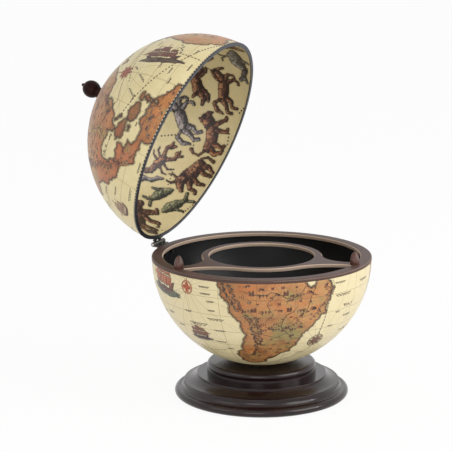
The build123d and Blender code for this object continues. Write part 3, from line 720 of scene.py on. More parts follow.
class Inkwork:
    """Strokes and fills laid just above a dome's paper, in layers."""

    LAYER = 0.03 * MM
    MARGIN = 0.001  # kept clear at a dome's rim, in radii
    STEP = 2.5  # millimetres between a stroke's points
    WIDEST_FACE = 3.0 * MM

    def __init__(self, dome):
        self.dome, self.points, self.faces, self.colours = dome, [], [], []

    def add(self, rays, faces, colour, layer):
        """Take in a patch."""
        first = len(self.points)
        side = 1 if self.dome.edge > 0 else -1
        rays = np.array(rays)
        limit = side * sin(radians(self.dome.edge)) + self.MARGIN
        beyond = rays[:, 2] * side < limit
        rays[beyond, :2] *= (
            sqrt(1 - limit * limit) / np.linalg.norm(rays[beyond, :2], axis=1, keepdims=True)
        )
        rays[beyond, 2] = side * limit
        self.points.extend(self.dome.place(rays, layer * self.LAYER).tolist())
        order = -1 if self.dome.inside else 1
        self.faces.extend([tuple(first + i for i in face)[::order] for face in faces
                           if not all(beyond[i] for i in face)])
        self.colours.extend([linear(colour)] * len(rays))

    def stroke(self, rays, width, colour, layer=3, taper=False):
        """Draw a line of a width in millimetres through unit directions."""
        rays = np.asarray(rays, float)
        gap = np.linalg.norm(np.diff(rays, axis=0), axis=1) * self.dome.radius / MM
        parts = []
        for start, end, length in zip(rays[:-1], rays[1:], gap):
            count = max(1, int(length / self.STEP))
            parts.append(start + (end - start) * (np.arange(count)[:, None] / count))
        line = np.concatenate([*parts, rays[-1:]])
        line /= np.linalg.norm(line, axis=1, keepdims=True)
        along = np.gradient(line, axis=0)
        side = np.cross(line, along)
        side /= np.maximum(np.linalg.norm(side, axis=1, keepdims=True), 1e-12)
        half = np.full(len(line), width / 2) * MM / self.dome.radius
        if taper:
            half = half * np.sin(np.linspace(0.12, pi - 0.12, len(line)))
        left, right = line + side * half[:, None], line - side * half[:, None]
        count = len(line)
        quads = [(i, i + count, i + count + 1, i + 1) for i in range(count - 1)]
        self.add(np.concatenate([left, right]), quads, colour, layer)

    def fill(self, rays, colour, layer=2):
        """Fill an outline of unit directions, cut small enough to follow the dome."""
        work = bmesh.new()
        corners = [work.verts.new(ray) for ray in rays]
        for tri in tessellate_polygon([[Vector(r) for r in rays]]):
            if len(set(tri)) == 3:
                try:
                    work.faces.new([corners[i] for i in tri])
                except ValueError:
                    continue
        limit = self.WIDEST_FACE / self.dome.radius
        for _ in range(5):
            long_edges = [e for e in work.edges if e.calc_length() > limit]
            if not long_edges:
                break
            bmesh.ops.subdivide_edges(work, edges=long_edges, cuts=1)
            bmesh.ops.triangulate(work, faces=work.faces)
        work.verts.index_update()
        spots = np.array([v.co for v in work.verts])
        spots /= np.linalg.norm(spots, axis=1, keepdims=True)
        faces = []
        for face in work.faces:
            ring = [v.index for v in face.verts]
            outward = np.cross(spots[ring[1]] - spots[ring[0]], spots[ring[2]] - spots[ring[0]])
            faces.append(ring if outward @ spots[ring[0]] > 0 else ring[::-1])
        self.add(spots, faces, colour, layer)
        work.free()

    def piece(self, name, finish):
        """Make the object."""
        made = new_piece(
            name, self.points, self.faces, self.dome.body, finish, smooth=False
        )
        carry(made.data, "ink", "FLOAT_COLOR", self.colours)
        return made


class Spot:
    """A flat drawing frame that touches the dome at a place: millimetres right and up."""

    def __init__(self, ink, lon, lat, turn=0.0, scale=1.0, wide=1.0):
        self.ink, self.wide = ink, wide
        self.centre = sphere_ray(lon, lat)
        self.east = sphere_ray(lon + 90, 0) * (-1 if ink.dome.inside else 1)
        self.north = np.cross(self.centre, self.east) * (-1 if ink.dome.inside else 1)
        self.c, self.s, self.scale = cos(radians(turn)), sin(radians(turn)), scale

    def rays(self, points):
        """Directions of flat points."""
        flat = np.asarray(points, float) * self.scale * MM / self.ink.dome.radius
        flat[:, 0] *= self.wide
        u = flat[:, 0] * self.c - flat[:, 1] * self.s
        v = flat[:, 0] * self.s + flat[:, 1] * self.c
        out = self.centre + u[:, None] * self.east + v[:, None] * self.north
        return out / np.linalg.norm(out, axis=1, keepdims=True)

    def stroke(self, points, width, colour, layer=3, taper=False):
        """Draw a line through flat points."""
        self.ink.stroke(self.rays(points), width * self.scale, colour, layer, taper)

    def fill(self, points, colour, layer=2):
        """Fill a flat outline."""
        self.ink.fill(self.rays(points), colour, layer)


def arc(cx, cy, rx, ry, start, end, count=12):
    """Points on an oval, between two angles in degrees."""
    return [
        (cx + rx * cos(radians(a)), cy + ry * sin(radians(a)))
        for a in np.linspace(start, end, count)
    ]


INK = (0.13, 0.095, 0.07)
DARK = (0.21, 0.125, 0.09)
BROWN = (0.37, 0.23, 0.15)
ORANGE = (0.76, 0.42, 0.23)
CREAM = (0.88, 0.80, 0.60)
SEA = (0.315, 0.335, 0.285)
RED_BROWN = (0.55, 0.22, 0.14)
PURPLE = (0.29, 0.18, 0.20)
RIPPLE = (0.17, 0.12, 0.08)
HILLSIDE = (0.62, 0.39, 0.24)


def compass_rose(ink, lon, lat, reach, points=8, dark=DARK, warm=ORANGE, ring=True):
    """A compass rose: a star of split rays inside a double ring, with a mark for north."""
    spot = Spot(ink, lon, lat)
    if ring:
        spot.fill(arc(0, 0, reach * 0.9, reach * 0.9, 0, 350, 36), CREAM, 1)
        for share, width in ((1.0, 1.2), (0.84, 0.5)):
            spot.stroke(arc(0, 0, reach * share, reach * share, 0, 360, 49), width, dark, 3)
        for i in range(32):
            angle = 2 * pi * i / 32
            spot.stroke([(reach * r * sin(angle), reach * r * cos(angle)) for r in (0.86, 1.0)],
                        0.4, dark, 3)
    for level, (count, length, waist, offset) in enumerate((
        (points, 0.84, 0.3, 180 / points), (points // 2, 0.98, 0.34, 0.0),
    )):
        for i in range(count):
            angle = radians(360 / count * i + offset)
            tip = (reach * length * sin(angle), reach * length * cos(angle))
            for side, colour in ((1, dark), (-1, warm)):
                bend = angle + side * pi / (4 if level else points)
                hip = (reach * waist * 1.35 * sin(bend), reach * waist * 1.35 * cos(bend))
                spot.fill([(0, 0), hip, tip] if side > 0 else [(0, 0), tip, hip], colour,
                          2 + level)
                spot.stroke([hip, tip], 0.35, dark, 2 + level)
    spot.fill(arc(0, 0, reach * 0.12, reach * 0.12, 0, 345, 16), warm, 4)
    spot.stroke([(0, reach * 1.0), (0, reach * 1.3)], 0.8, dark, 3)
    spot.fill([(-1.5, reach * 1.12), (1.5, reach * 1.12), (0, reach * 1.46)], dark, 3)


def waves(spot, left, right, low, high, count, seed, colour=DARK, width=0.28):
    """Short curved strokes of water."""
    draw = random.Random(seed)
    for _ in range(count):
        x, y = draw.uniform(left, right), draw.uniform(low, high)
        long = draw.uniform(1.6, 4.2)
        spot.stroke([(x, y), (x + long / 2, y + 0.45), (x + long, y)], width, colour, 3, True)


def ripples(ink, lon, lat, count, size, turn=0.0, *, seed):
    """Two rows of small scalloped waves, one set between the other."""
    size *= 1.35
    draw = random.Random(seed)
    spot = Spot(ink, lon, lat, turn)
    for row, (number, y) in enumerate(((count, 0.0), (count - 1, -0.55 * size))):
        for i in range(number):
            x = (i - (number - 1) / 2) * size * 1.15
            half = size * (0.46 if row == 0 else 0.34) * draw.uniform(0.9, 1.1)
            spot.stroke(arc(x, y, half, half * 0.8, 200, 340, 6), max(1.15, size * 0.26),
                        RIPPLE)


def sailing_ship(ink, lon, lat, scale, seed, turn=0.0, facing=1, sail=ORANGE, patch=SEA,
                 hull=BROWN, sea_long=23, wide=1.0):
    """An old three-masted ship on its patch of water."""
    spot = Spot(ink, lon, lat, turn, scale, wide)
    draw = random.Random(seed)

    def flip(points):
        return [(facing * x, y) for x, y in points]

    if patch:
        shore = []
        for i in range(28):
            angle = 2 * pi * i / 28
            wobble = draw.uniform(0.86, 1.1)
            shore.append((sea_long * wobble * cos(angle) + (sea_long - 23) * 0.6,
                          -13.5 + 4.9 * wobble * sin(angle)))
        spot.fill(shore, patch, 1)
        waves(spot, -20, sea_long, -17, -10.5, 44, seed + 1, width=0.4)
        waves(spot, -18, sea_long, -17, -10.5, 26, seed + 2, (0.62, 0.60, 0.47), 0.35)
    stern, bow = (-17.5, -1.5), (17, -4)
    keel = [(-15, -9), (-11, -13.5), (-4, -15), (5, -15), (11, -13.5), (15, -8.5), bow]
    deck = [(-11, -4.5), (-9, -9.5), (0, -10), (10, -9), (11.5, -6)]
    spot.fill(flip([*keel, *reversed(deck), stern, (-16.5, -5.5)]), hull, 2)
    for height, half in ((-10.8, 12.4), (-12.2, 11.3), (-13.6, 8.5)):
        spot.stroke([(-half, height), (0, height - 0.6), (half, height)], 0.35, DARK, 4)
    spot.stroke(flip([stern, *keel, (24, 0.5)]), 0.5, DARK, 4)
    spot.stroke(flip([stern, *deck, bow]), 0.35, DARK, 4)
    places = [(-9, 12, 5.0), (0.5, 17, 6.8), (9, 13, 5.6)]
    for x, top, half in places:
        spot.stroke(flip([(x, -10), (x, top + 3)]), 0.7, DARK, 3)
        levels = ((-7.5, 1.6, 1.0), (2.6, top - 3.5, 0.72))
        for low, high, share in levels:
            belly, yard = 1.9 * facing, half * share
            middle = (low + high) / 2
            outline = [(facing * x - yard * 0.86, low), (facing * x - yard + belly * 0.2, middle),
                       (facing * x - yard * 0.82, high), (facing * x + yard * 0.82, high),
                       (facing * x + yard + belly, middle), (facing * x + yard * 0.95, low),
                       (facing * x + belly, low + 1.1)]
            spot.fill(outline, sail, 3)
            spot.stroke(outline + outline[:1], 0.7, DARK, 4)
            for step in (0.25, 0.5, 0.75):
                row = low + (high - low) * step
                left, right = facing * x - yard * 0.85, facing * x + yard + belly * 0.6
                spot.stroke([(left, row), (right, row)], 0.5, BROWN, 4, True)
        spot.fill(flip([(x, top + 3), (x, top + 1.4), (x - 4.2, top + 2.6)]), RED_BROWN, 3)
    for (x0, t0, _), (x1, t1, _) in zip(places, places[1:]):
        spot.stroke(flip([(x0, t0 + 2), (x1, -8)]), 0.2, DARK, 2)
        spot.stroke(flip([(x1, t1 + 2), (x0, -8)]), 0.2, DARK, 2)
    spot.stroke(flip([(places[-1][0], places[-1][1]), (23, 0)]), 0.22, DARK, 2)
    spot.fill(flip([(22, -0.6), (12, 6), (13, -3)]), sail, 2)


def sea_beast(ink, lon, lat, scale, facing=1, colour=BROWN, turn=0.0):
    """A looped sea serpent of old charts."""
    spot = Spot(ink, lon, lat, turn, scale)
    curve = [
        (facing * x, 2 + (2.8 + 0.07 * x) * sin(0.42 * x + 2.0)) for x in np.linspace(-16, 13, 40)
    ]
    spot.stroke(curve, 3.6, DARK, 2, True)
    spot.stroke(curve, 2.5, colour, 3, True)
    spot.fill([(facing * x, y) for x, y in ((12, 7.5), (17, 7), (19.5, 4), (15.5, 3), (12.5, 4))],
              colour, 3)
    spot.fill([(facing * x, y) for x, y in ((-15, 1), (-20, 5), (-19.5, -2))], DARK, 3)
    waves(spot, -17, 14, -5.5, -1.5, 16, 5)


def dotted_route(ink, places, colour=INK, dash=3.2, gap=2.2, width=1.3):
    """A dashed course over the sea, through longitudes and latitudes."""
    rays = sphere_ray(*np.array(places).T)
    radius = ink.dome.radius / MM
    for start, end in zip(rays[:-1], rays[1:]):
        length = np.linalg.norm(end - start) * radius
        steps = int(length / (dash + gap))
        for i in range(steps):
            low, high = i / steps, (i + dash / (dash + gap)) / steps
            ink.stroke([start + (end - start) * low, start + (end - start) * high], width, colour)


def mountain_range(ink, places, seed, spread, count, size, body=HILLSIDE):
    """Rows of small shaded hills along a line of longitudes and latitudes."""
    draw = random.Random(seed)
    path = np.array(places, float)
    for i in range(count):
        place = (len(path) - 1) * (i + draw.uniform(0, 0.6)) / count
        k = min(int(place), len(path) - 2)
        lon, lat = path[k] + (path[k + 1] - path[k]) * (place - k)
        lon += draw.uniform(-spread, spread)
        spot = Spot(ink, lon, lat, draw.uniform(-22, 22), size * draw.uniform(0.8, 1.25))
        if body:
            spot.fill([(-2.2, 0), (-0.9, 2.2), (0.3, 3.0), (1.3, 1.6), (2.4, 0)], body, 2)
            spot.stroke([(-2.4, -0.1), (-1.0, 2.2), (0.3, 3.0)], 0.5, DARK, 3)
        for shift in (0.0, 1.2):
            spot.stroke([(0.2 + shift, 3.0 - shift * 0.5), (1.4 + shift, 1.8), (1.5 + shift, 0)],
                        1.25, DARK, 3, True)


def river(ink, places, seed, width):
    """A winding river."""
    draw = random.Random(seed)
    path = np.array(places, float)
    grown = [path[0]]
    for start, end in zip(path[:-1], path[1:]):
        for share in (0.25, 0.5, 0.75, 1.0):
            place = start + (end - start) * share
            if share < 1:
                place = place + np.array([draw.uniform(-0.7, 0.7), draw.uniform(-0.7, 0.7)])
            grown.append(place)
    ink.stroke(sphere_ray(*np.array(grown).T), width, DARK)


def trees(ink, places, seed, size=1.0):
    """Small groups of trees."""
    draw = random.Random(seed)
    for lon, lat in places:
        for i in range(3):
            spot = Spot(ink, lon + (i - 1) * 1.2 * size, lat + draw.uniform(-0.4, 0.4), 0,
                        size * draw.uniform(0.8, 1.15))
            spot.stroke([(0, -0.6), (0, 1.8)], 0.6, DARK)
            spot.fill(arc(0, 2.3, 1.0, 1.2, 0, 330, 10), (0.34, 0.27, 0.16), 3)
            spot.stroke(arc(0, 2.3, 1.0, 1.2, -90, 150, 8), 0.45, DARK, 4)


def town(spot):
    """A small walled town: two towers and a house."""
    for left, right, high in ((-1.9, -1.0, 2.6), (-0.9, 0.7, 1.5), (0.8, 1.7, 3.2)):
        outline = [(left, 0), (right, 0), (right, high), ((left + right) / 2, high + 1.1),
                   (left, high)]
        spot.fill(outline, (0.50, 0.27, 0.17), 2)
        spot.stroke(outline + outline[:1], 0.5, DARK, 3)


def country(ink, seed, rows):
    """Rows of trees, hills, towns and furrows: latitude, first and last longitude and step."""
    draw = random.Random(seed)
    for lat, left, right, step in rows:
        for i in range(int((right - left) / step) + 1):
            lon = left + step * i + draw.uniform(-1.3, 1.3)
            place = (lon, lat + draw.uniform(-1.2, 1.2))
            size, kind = draw.uniform(0.75, 1.2), draw.randrange(5)
            spot = Spot(ink, *place, draw.uniform(-6, 6), size)
            if kind == 0:
                trees(ink, [place], draw.randrange(1000), size)
            elif kind == 1:
                town(spot)
            elif kind == 2:
                mountain_range(ink, [place, (place[0] + 2, place[1] + 0.6)], draw.randrange(1000),
                               1.2, 3, size)
            elif kind == 3:
                for k in range(4):
                    spot.stroke([(-2.6 + k, -1.2), (-1.2 + k, 1.4), (-0.6 + k, 1.2)], 0.6, DARK)
            else:
                spot.stroke([(-4, -0.8), (-2.4, 0.6), (0, -0.4), (2, 0.8), (4.4, 0)], 0.75, DARK)
                spot.stroke([(-3, 1.4), (-0.6, 2.0), (2, 1.6)], 0.45, BROWN)


def border(ink, places, seed):
    """A dotted border between regions."""
    draw = random.Random(seed)
    path = [np.array(place, float) + (draw.uniform(-0.6, 0.6), draw.uniform(-0.6, 0.6))
            for place in places]
    dotted_route(ink, path, BROWN, 0.8, 1.1, 0.6)


def ink_finish(name, settings):
    """Ink and washes on the paper, a little uneven."""
    finish = Finish(name, coat_roughness=0.28, specular_ior_level=0.4, coat_weight=settings.gloss)
    place = finish.node("ShaderNodeTexCoord", output=3)
    speck = finish.noise(place, 900.0, 2.0, 0.7)
    patchy = finish.noise(place, 90.0, 3.0, 0.6)
    colour = finish.mix(
        finish.clamp((patchy - 0.5) * 0.8), finish.attribute("ink", 0), linear(CREAM)
    )
    colour = finish.mix(finish.clamp((0.48 - speck) * 3) * 0.35, colour, linear(DARK))
    finish.feed(Base_Color=colour, Roughness=0.42 + patchy * 0.15)
    return finish


# ---- animals of the lid's inside: chains of rounded limbs, x, y and radius in millimetres


def both_sides(*chains):
    """Chains with their mirror images."""
    return list(chains) + [[(-x, y, r) for x, y, r in chain] for chain in chains]


ANIMALS = {
    "lion": [
        [(-22, 2, 9), (-8, 0, 10), (8, 2, 11), (18, 8, 10)], [(17, 8, 11), (25, 16, 11)],
        [(27, 17, 8), (35, 14, 5), (37, 11, 3)],
        [(16, 4, 6), (25, -7, 4), (31, -16, 3), (36, -17, 3)],
        [(9, 0, 6), (11, -12, 4), (12, -22, 3), (17, -23, 3)],
        [(-22, 0, 8.5), (-29, -10, 5), (-25, -21, 3), (-20, -23, 3)],
        [(-15, -2, 7), (-14, -12, 4.5), (-17, -22, 3), (-12, -24, 3)],
        [(-28, 7, 2.6), (-38, 14, 2), (-37, 24, 1.8), (-31, 29, 3.4)], [(20, 24, 3), (23, 28, 2)],
    ],
    "bear": [
        [(-20, 4, 11), (-4, 6, 13), (14, 6, 11)], [(14, 8, 9), (25, 12, 7.5), (33, 8, 4)],
        [(23, 18, 2.6), (22, 20, 2.2)],
        [(-22, 0, 8), (-25, -12, 5.5), (-20, -21, 4), (-15, -22, 3.4)],
        [(-12, -2, 7), (-10, -13, 5), (-7, -22, 4)], [(12, 0, 7), (9, -12, 5), (12, -22, 4)],
        [(18, 2, 6), (26, -8, 4.8), (31, -15, 4), (36, -14, 3)],
    ],
    "horse": [
        [(-16, -4, 9), (-2, 4, 9.5), (12, 12, 9)], [(12, 14, 8), (20, 26, 6), (24, 34, 5)],
        [(24, 34, 4.6), (32, 31, 3.2), (36, 27, 2.6)], [(8, 22, 3), (14, 32, 3.4), (20, 40, 2.2)],
        [(16, 12, 5), (29, 14, 3.2), (34, 6, 2.4), (31, 1, 2.6)],
        [(14, 6, 5), (26, 1, 3), (28, -8, 2.3), (24, -11, 2.6)],
        [(-15, -6, 8), (-13, -18, 4.2), (-21, -26, 2.8), (-17, -33, 3)],
        [(-20, -6, 7), (-25, -16, 4), (-33, -24, 2.8), (-30, -31, 3)],
        [(-24, 0, 2.6), (-34, 3, 3.4), (-41, -7, 4), (-40, -19, 2)],
    ],
    "bull": [
        [(24, 4, 9), (8, 5, 11), (-8, 7, 12.5)],
        [(-10, 9, 10), (-22, 11, 8.4), (-30, 4, 6), (-34, -2, 4)],
        [(-26, 15, 2.6), (-35, 20, 2.2), (-37, 28, 1.3)],
        [(-23, 16, 2.6), (-20, 26, 2), (-25, 33, 1.2)],
        [(-10, 0, 7), (-21, -10, 4.2), (-19, -21, 3), (-23, -23, 3)],
        [(-3, -2, 6), (-5, -14, 4.2), (-1, -24, 3)], [(23, 0, 7.5), (29, -10, 4.4), (25, -22, 3)],
        [(16, 0, 6), (15, -12, 4.2), (19, -23, 3)], [(32, 9, 2.4), (41, 2, 1.8), (41, -10, 3.2)],
    ],
    "eagle": [
        [(0, -12, 5), (0, 0, 8), (2, 10, 5.6), (4, 18, 4.6), (10, 19, 2)],
        *both_sides(
            [(0, 5, 6), (14, 13, 6.5), (30, 17, 5.5), (44, 9, 3)], [(13, 9, 4.4), (19, -5, 3.2)],
            [(22, 11, 4.4), (29, -5, 3.2)], [(32, 11, 4), (38, -4, 2.6)],
            [(40, 8, 3), (45, -2, 1.8)],
            [(0, -12, 4.2), (5, -28, 3)], [(2, -10, 3), (9, -19, 1.8), (13, -18, 1.4)],
        ),
        [(0, -12, 4), (0, -30, 3)],
    ],
    "serpent": [
        [(-44, -8, 1.6), (-34, 4, 3.6), (-22, 9, 5), (-10, 0, 5.8), (2, -9, 6), (14, -4, 5.8),
         (22, 7, 5.4), (33, 12, 4.8), (42, 5, 4.2), (46, -3, 3.4), (48, -8, 1.4)],
        [(-30, 22, 1.6), (-18, 27, 4), (-4, 20, 4.6), (8, 24, 3.6), (18, 30, 1.6)],
    ],
    "crab": [
        [(-9, 0, 10), (9, 0, 10)],
        *both_sides(
            [(10, 7, 4.6), (21, 14, 4), (23, 22, 5.2)], [(23, 24, 4), (16, 32, 2.4)],
            [(24, 24, 4), (30, 32, 2.4)], [(12, 2, 3.4), (26, 4, 2.6), (33, -5, 1.5)],
            [(12, -4, 3.4), (24, -8, 2.4), (29, -17, 1.4)],
            [(8, -7, 3.4), (16, -17, 2.2), (15, -26, 1.4)],
            [(4, 8, 1.8), (5, 13, 1.8)],
        ),
    ],
    "fishes": [
        [(-22, 12, 2.6), (-10, 14, 7), (4, 15, 8), (15, 13, 4.6), (19, 12, 2)],
        [(-22, 12, 2.6), (-31, 20, 2.8)], [(-22, 12, 2.6), (-31, 4, 2.8)],
        [(0, 21, 3.4), (-8, 28, 2)],
        [(24, -12, 2.6), (12, -11, 7), (-2, -11, 8.4), (-14, -12, 4.8), (-19, -13, 2)],
        [(24, -12, 2.6), (34, -4, 2.8)], [(24, -12, 2.6), (33, -21, 2.8)],
        [(2, -17, 3.2), (9, -26, 2)],
    ],
    "dolphin": [
        [(-24, -6, 3), (-14, 6, 7.4), (2, 11, 9.4), (17, 4, 7), (27, -5, 4), (32, -8, 2)],
        [(-24, -6, 3), (-36, -2, 3)], [(-24, -6, 3), (-31, -17, 2.8)], [(0, 16, 4), (-7, 25, 1.8)],
        [(9, 2, 3.4), (3, -10, 2)],
    ],
    "hare": [
        [(-16, 0, 9), (0, 4, 8), (11, 6, 7)], [(11, 8, 6), (20, 12, 5.4), (26, 10, 3.4)],
        [(17, 17, 2.8), (9, 28, 2.2)], [(20, 17, 2.6), (17, 30, 2)],
        [(-18, -2, 8), (-29, -9, 4.2), (-39, -7, 2.6)],
        [(-14, -4, 6), (-23, -15, 3.4), (-33, -16, 2.4)],
        [(13, 2, 4.2), (25, -4, 2.8), (33, -2, 2)], [(9, 0, 4), (19, -9, 2.6), (27, -10, 2)],
        [(-24, 6, 3.4), (-27, 8, 2.4)],
    ],
    "hound": [
        [(18, 0, 7.4), (2, 2, 6.4), (-12, 5, 8.4)],
        [(-13, 8, 6), (-22, 14, 5.2), (-31, 12, 3.4), (-37, 9, 2.4)],
        [(-21, 18, 2.8), (-15, 22, 2)], [(-14, 0, 5), (-26, -6, 3.2), (-35, -3, 2.2)],
        [(-10, -1, 5), (-18, -12, 3), (-27, -14, 2.2)],
        [(19, -2, 6.4), (30, -9, 3.6), (40, -8, 2.3)],
        [(15, -4, 5.6), (23, -15, 3.2), (33, -18, 2.2)],
        [(25, 4, 2.2), (34, 12, 1.8), (37, 20, 1.4)],
    ],
    "stag": [
        [(-16, 0, 8.4), (-2, 2, 8), (10, 6, 8.6)], [(11, 10, 6), (18, 21, 4.6), (21, 28, 4)],
        [(21, 28, 3.8), (29, 26, 2.6), (32, 24, 2)], [(18, 32, 1.9), (12, 42, 1.6), (16, 52, 1.2)],
        [(14, 39, 1.5), (6, 44, 1.1)], [(21, 32, 1.9), (26, 41, 1.6), (24, 51, 1.2)],
        [(24, 38, 1.5), (32, 43, 1.1)], [(10, 0, 5), (17, -12, 3), (15, -25, 2.2)],
        [(6, -1, 5), (6, -14, 3), (9, -26, 2.2)], [(-17, -2, 7), (-22, -13, 3.6), (-18, -26, 2.3)],
        [(-12, -4, 6), (-11, -15, 3.2), (-14, -27, 2.3)], [(-24, 6, 2.8), (-27, 9, 2)],
    ],
    "swan": [
        [(-12, 0, 7), (4, 1, 8)],
        [(8, 3, 5), (19, 9, 3.4), (29, 7, 2.8), (38, 12, 3), (45, 12, 1.6)],
        [(0, 4, 7), (-7, 18, 6.4), (-17, 30, 4.8), (-27, 37, 2.4)],
        [(-9, 12, 5), (-22, 20, 3), (-30, 24, 1.8)],
        [(2, -2, 6.4), (-3, -16, 5.4), (-12, -27, 3.8), (-21, -33, 2)], [(-12, 0, 5), (-27, 3, 3)],
        [(-12, -1, 5), (-27, -5, 3)],
    ],
    "scorpion": [
        [(-8, 0, 7.4), (8, 3, 7)], [(12, 8, 3.6), (23, 16, 3), (30, 14, 4.4), (37, 18, 2)],
        [(30, 13, 4), (37, 10, 2)], [(13, -2, 3.6), (25, -7, 3), (32, -3, 4.4), (39, -1, 2)],
        [(32, -5, 4), (38, -10, 2)],
        [(-12, -1, 5.8), (-23, -4, 5.2), (-33, 0, 4.6), (-39, 9, 4), (-36, 19, 3.4),
         (-28, 23, 1.6)],
        [(4, 8, 2.6), (6, 19, 1.6), (12, 24, 1.2)], [(-3, 7, 2.6), (-4, 18, 1.6), (0, 24, 1.2)],
        [(3, -5, 2.6), (4, -16, 1.6), (10, -20, 1.2)],
        [(-5, -6, 2.6), (-8, -16, 1.6), (-4, -22, 1.2)],
    ],
    "whale": [
        [(-20, 0, 6.4), (-2, 5, 13.4), (16, 3, 13), (27, -2, 7.4)],
        [(-20, 0, 6), (-33, 8, 4.4), (-41, 17, 3.4)], [(-33, 8, 4.2), (-46, 6, 3)],
        [(4, -4, 5), (-3, -15, 3)], [(16, 17, 1.6), (19, 28, 1.6), (26, 32, 1.6)],
        [(16, 17, 1.6), (12, 29, 1.6), (5, 31, 1.6)],
    ],
    "ram": [
        [(-18, 2, 10.5), (-2, 3, 11.5), (11, 5, 10.5)],
        [(12, 10, 7.4), (20, 18, 6), (28, 15, 4.2), (31, 12, 3)],
        [(18, 24, 2.8), (9, 25, 2.9), (6, 17, 2.7), (12, 12, 2.2)],
        [(-20, -4, 6), (-22, -14, 3.4), (-20, -24, 2.7)],
        [(-12, -6, 5.4), (-10, -16, 3.2), (-11, -25, 2.7)],
        [(8, -4, 5.4), (7, -15, 3.2), (9, -25, 2.7)], [(15, -2, 5), (22, -12, 3.2), (20, -21, 2.7)],
    ],
}

# rows of animals: latitude, size, first longitude, and each animal with its turn, its tint (from
# 0 brown over 0.3 russet and 0.6 lilac grey to 1 green grey) and its share of the row's size
ROWS = [
    (10.5, 0.93, 244, (
        ("bear", 24, 0.05, 1.3), ("fishes", -38, 0.98, 1.15), ("bull", -8, 0.1, 1),
        ("lion", 10, 0.3, 1), ("horse", -6, 0.12, 1), ("whale", 20, 0.75, 1), ("stag", 4, 0.25, 1),
        ("crab", -10, 0.28, 1), ("swan", -18, 0.6, 1), ("ram", 0, 0.2, 1),
        ("scorpion", 12, 0.35, 1), ("hound", 6, 0.05, 1), ("dolphin", -4, 0.9, 1.2),
        ("eagle", -5, 0.1, 1),
    )),
    (28.5, 0.93, 227, (
        ("swan", -50, 0.62, 1.25), ("scorpion", -30, 0.3, 1), ("horse", 12, 0.62, 1.05),
        ("hare", -24, 0.08, 1.1), ("bear", -8, 0.2, 1), ("serpent", 0, 0.5, 1),
        ("bull", 5, 0.15, 1), ("dolphin", 6, 0.9, 1), ("fishes", -6, 0.95, 1),
        ("lion", -4, 0.25, 1), ("crab", 10, 0.6, 1), ("hound", 3, 0.3, 1),
    )),
    (48, 0.86, 250, (
        ("serpent", 4, 0.75, 1), ("ram", 4, 0.6, 1), ("hound", 10, 0.1, 1),
        ("dolphin", -8, 0.85, 1.1), ("stag", 6, 0.2, 0.9), ("whale", 16, 0.95, 1),
        ("hare", 0, 0.3, 1), ("swan", -10, 0.6, 1), ("scorpion", 8, 0.1, 1),
    )),
    (66, 0.72, 240, (
        ("hare", 4, 0.3, 1), ("fishes", 20, 0.95, 1), ("bear", 0, 0.1, 1), ("crab", 10, 0.3, 1),
        ("dolphin", -12, 0.7, 1), ("ram", 0, 0.15, 1),
    )),
]
HERD = [
    (name, first - 360 / len(row) * i, lat, turn, size * share, tint)
    for lat, size, first, row in ROWS for i, (name, turn, tint, share) in enumerate(row)
]


def limb_field(u, v, chains):
    """Distance to a body made of rounded limbs, and how brightly each place is lit."""
    depth = np.full(len(u), 99.0)
    ratio, second = np.full(len(u), 99.0), np.full(len(u), 99.0)
    tone = np.zeros(len(u))
    for chain in chains:
        own, own_tone = np.full(len(u), 99.0), np.zeros(len(u))
        for (x0, y0, r0), (x1, y1, r1) in zip(chain[:-1], chain[1:]):
            dx, dy = x1 - x0, y1 - y0
            share = np.clip(((u - x0) * dx + (v - y0) * dy) / (dx * dx + dy * dy), 0, 1)
            px, py = u - x0 - dx * share, v - y0 - dy * share
            size = r0 + (r1 - r0) * share
            away = np.hypot(px, py)
            reach = away - size
            blend = np.clip(0.5 + (depth - reach) / 3.0, 0, 1)
            depth = depth * (1 - blend) + reach * blend - 0.75 * blend * (1 - blend)
            local = away / size
            nx, ny = px / size, py / size
            nz = np.sqrt(np.clip(1 - nx * nx - ny * ny, 0, 1))
            lit = np.clip(0.42 - 0.42 * nx + 0.46 * ny + 0.30 * nz, 0, 1)
            better = local < own
            own_tone = np.where(better, lit, own_tone)
            own = np.where(better, local, own)
        second = np.minimum(np.maximum(own, ratio), second)
        tone = np.where(own < ratio, own_tone, tone)
        ratio = np.minimum(own, ratio)
    seam = np.where(second < 1.15, np.clip((second - ratio) / 0.3, 0, 1), 1)
    return depth, tone * (0.25 + 0.75 * seam)


def limb_discs(chains):
    """Discs that cover an animal: its limbs' joints and the places half way between them."""
    discs = []
    for chain in chains:
        joints = np.array(chain, float)
        discs += [joints, (joints[:-1] + joints[1:]) / 2]
    return np.concatenate(discs)


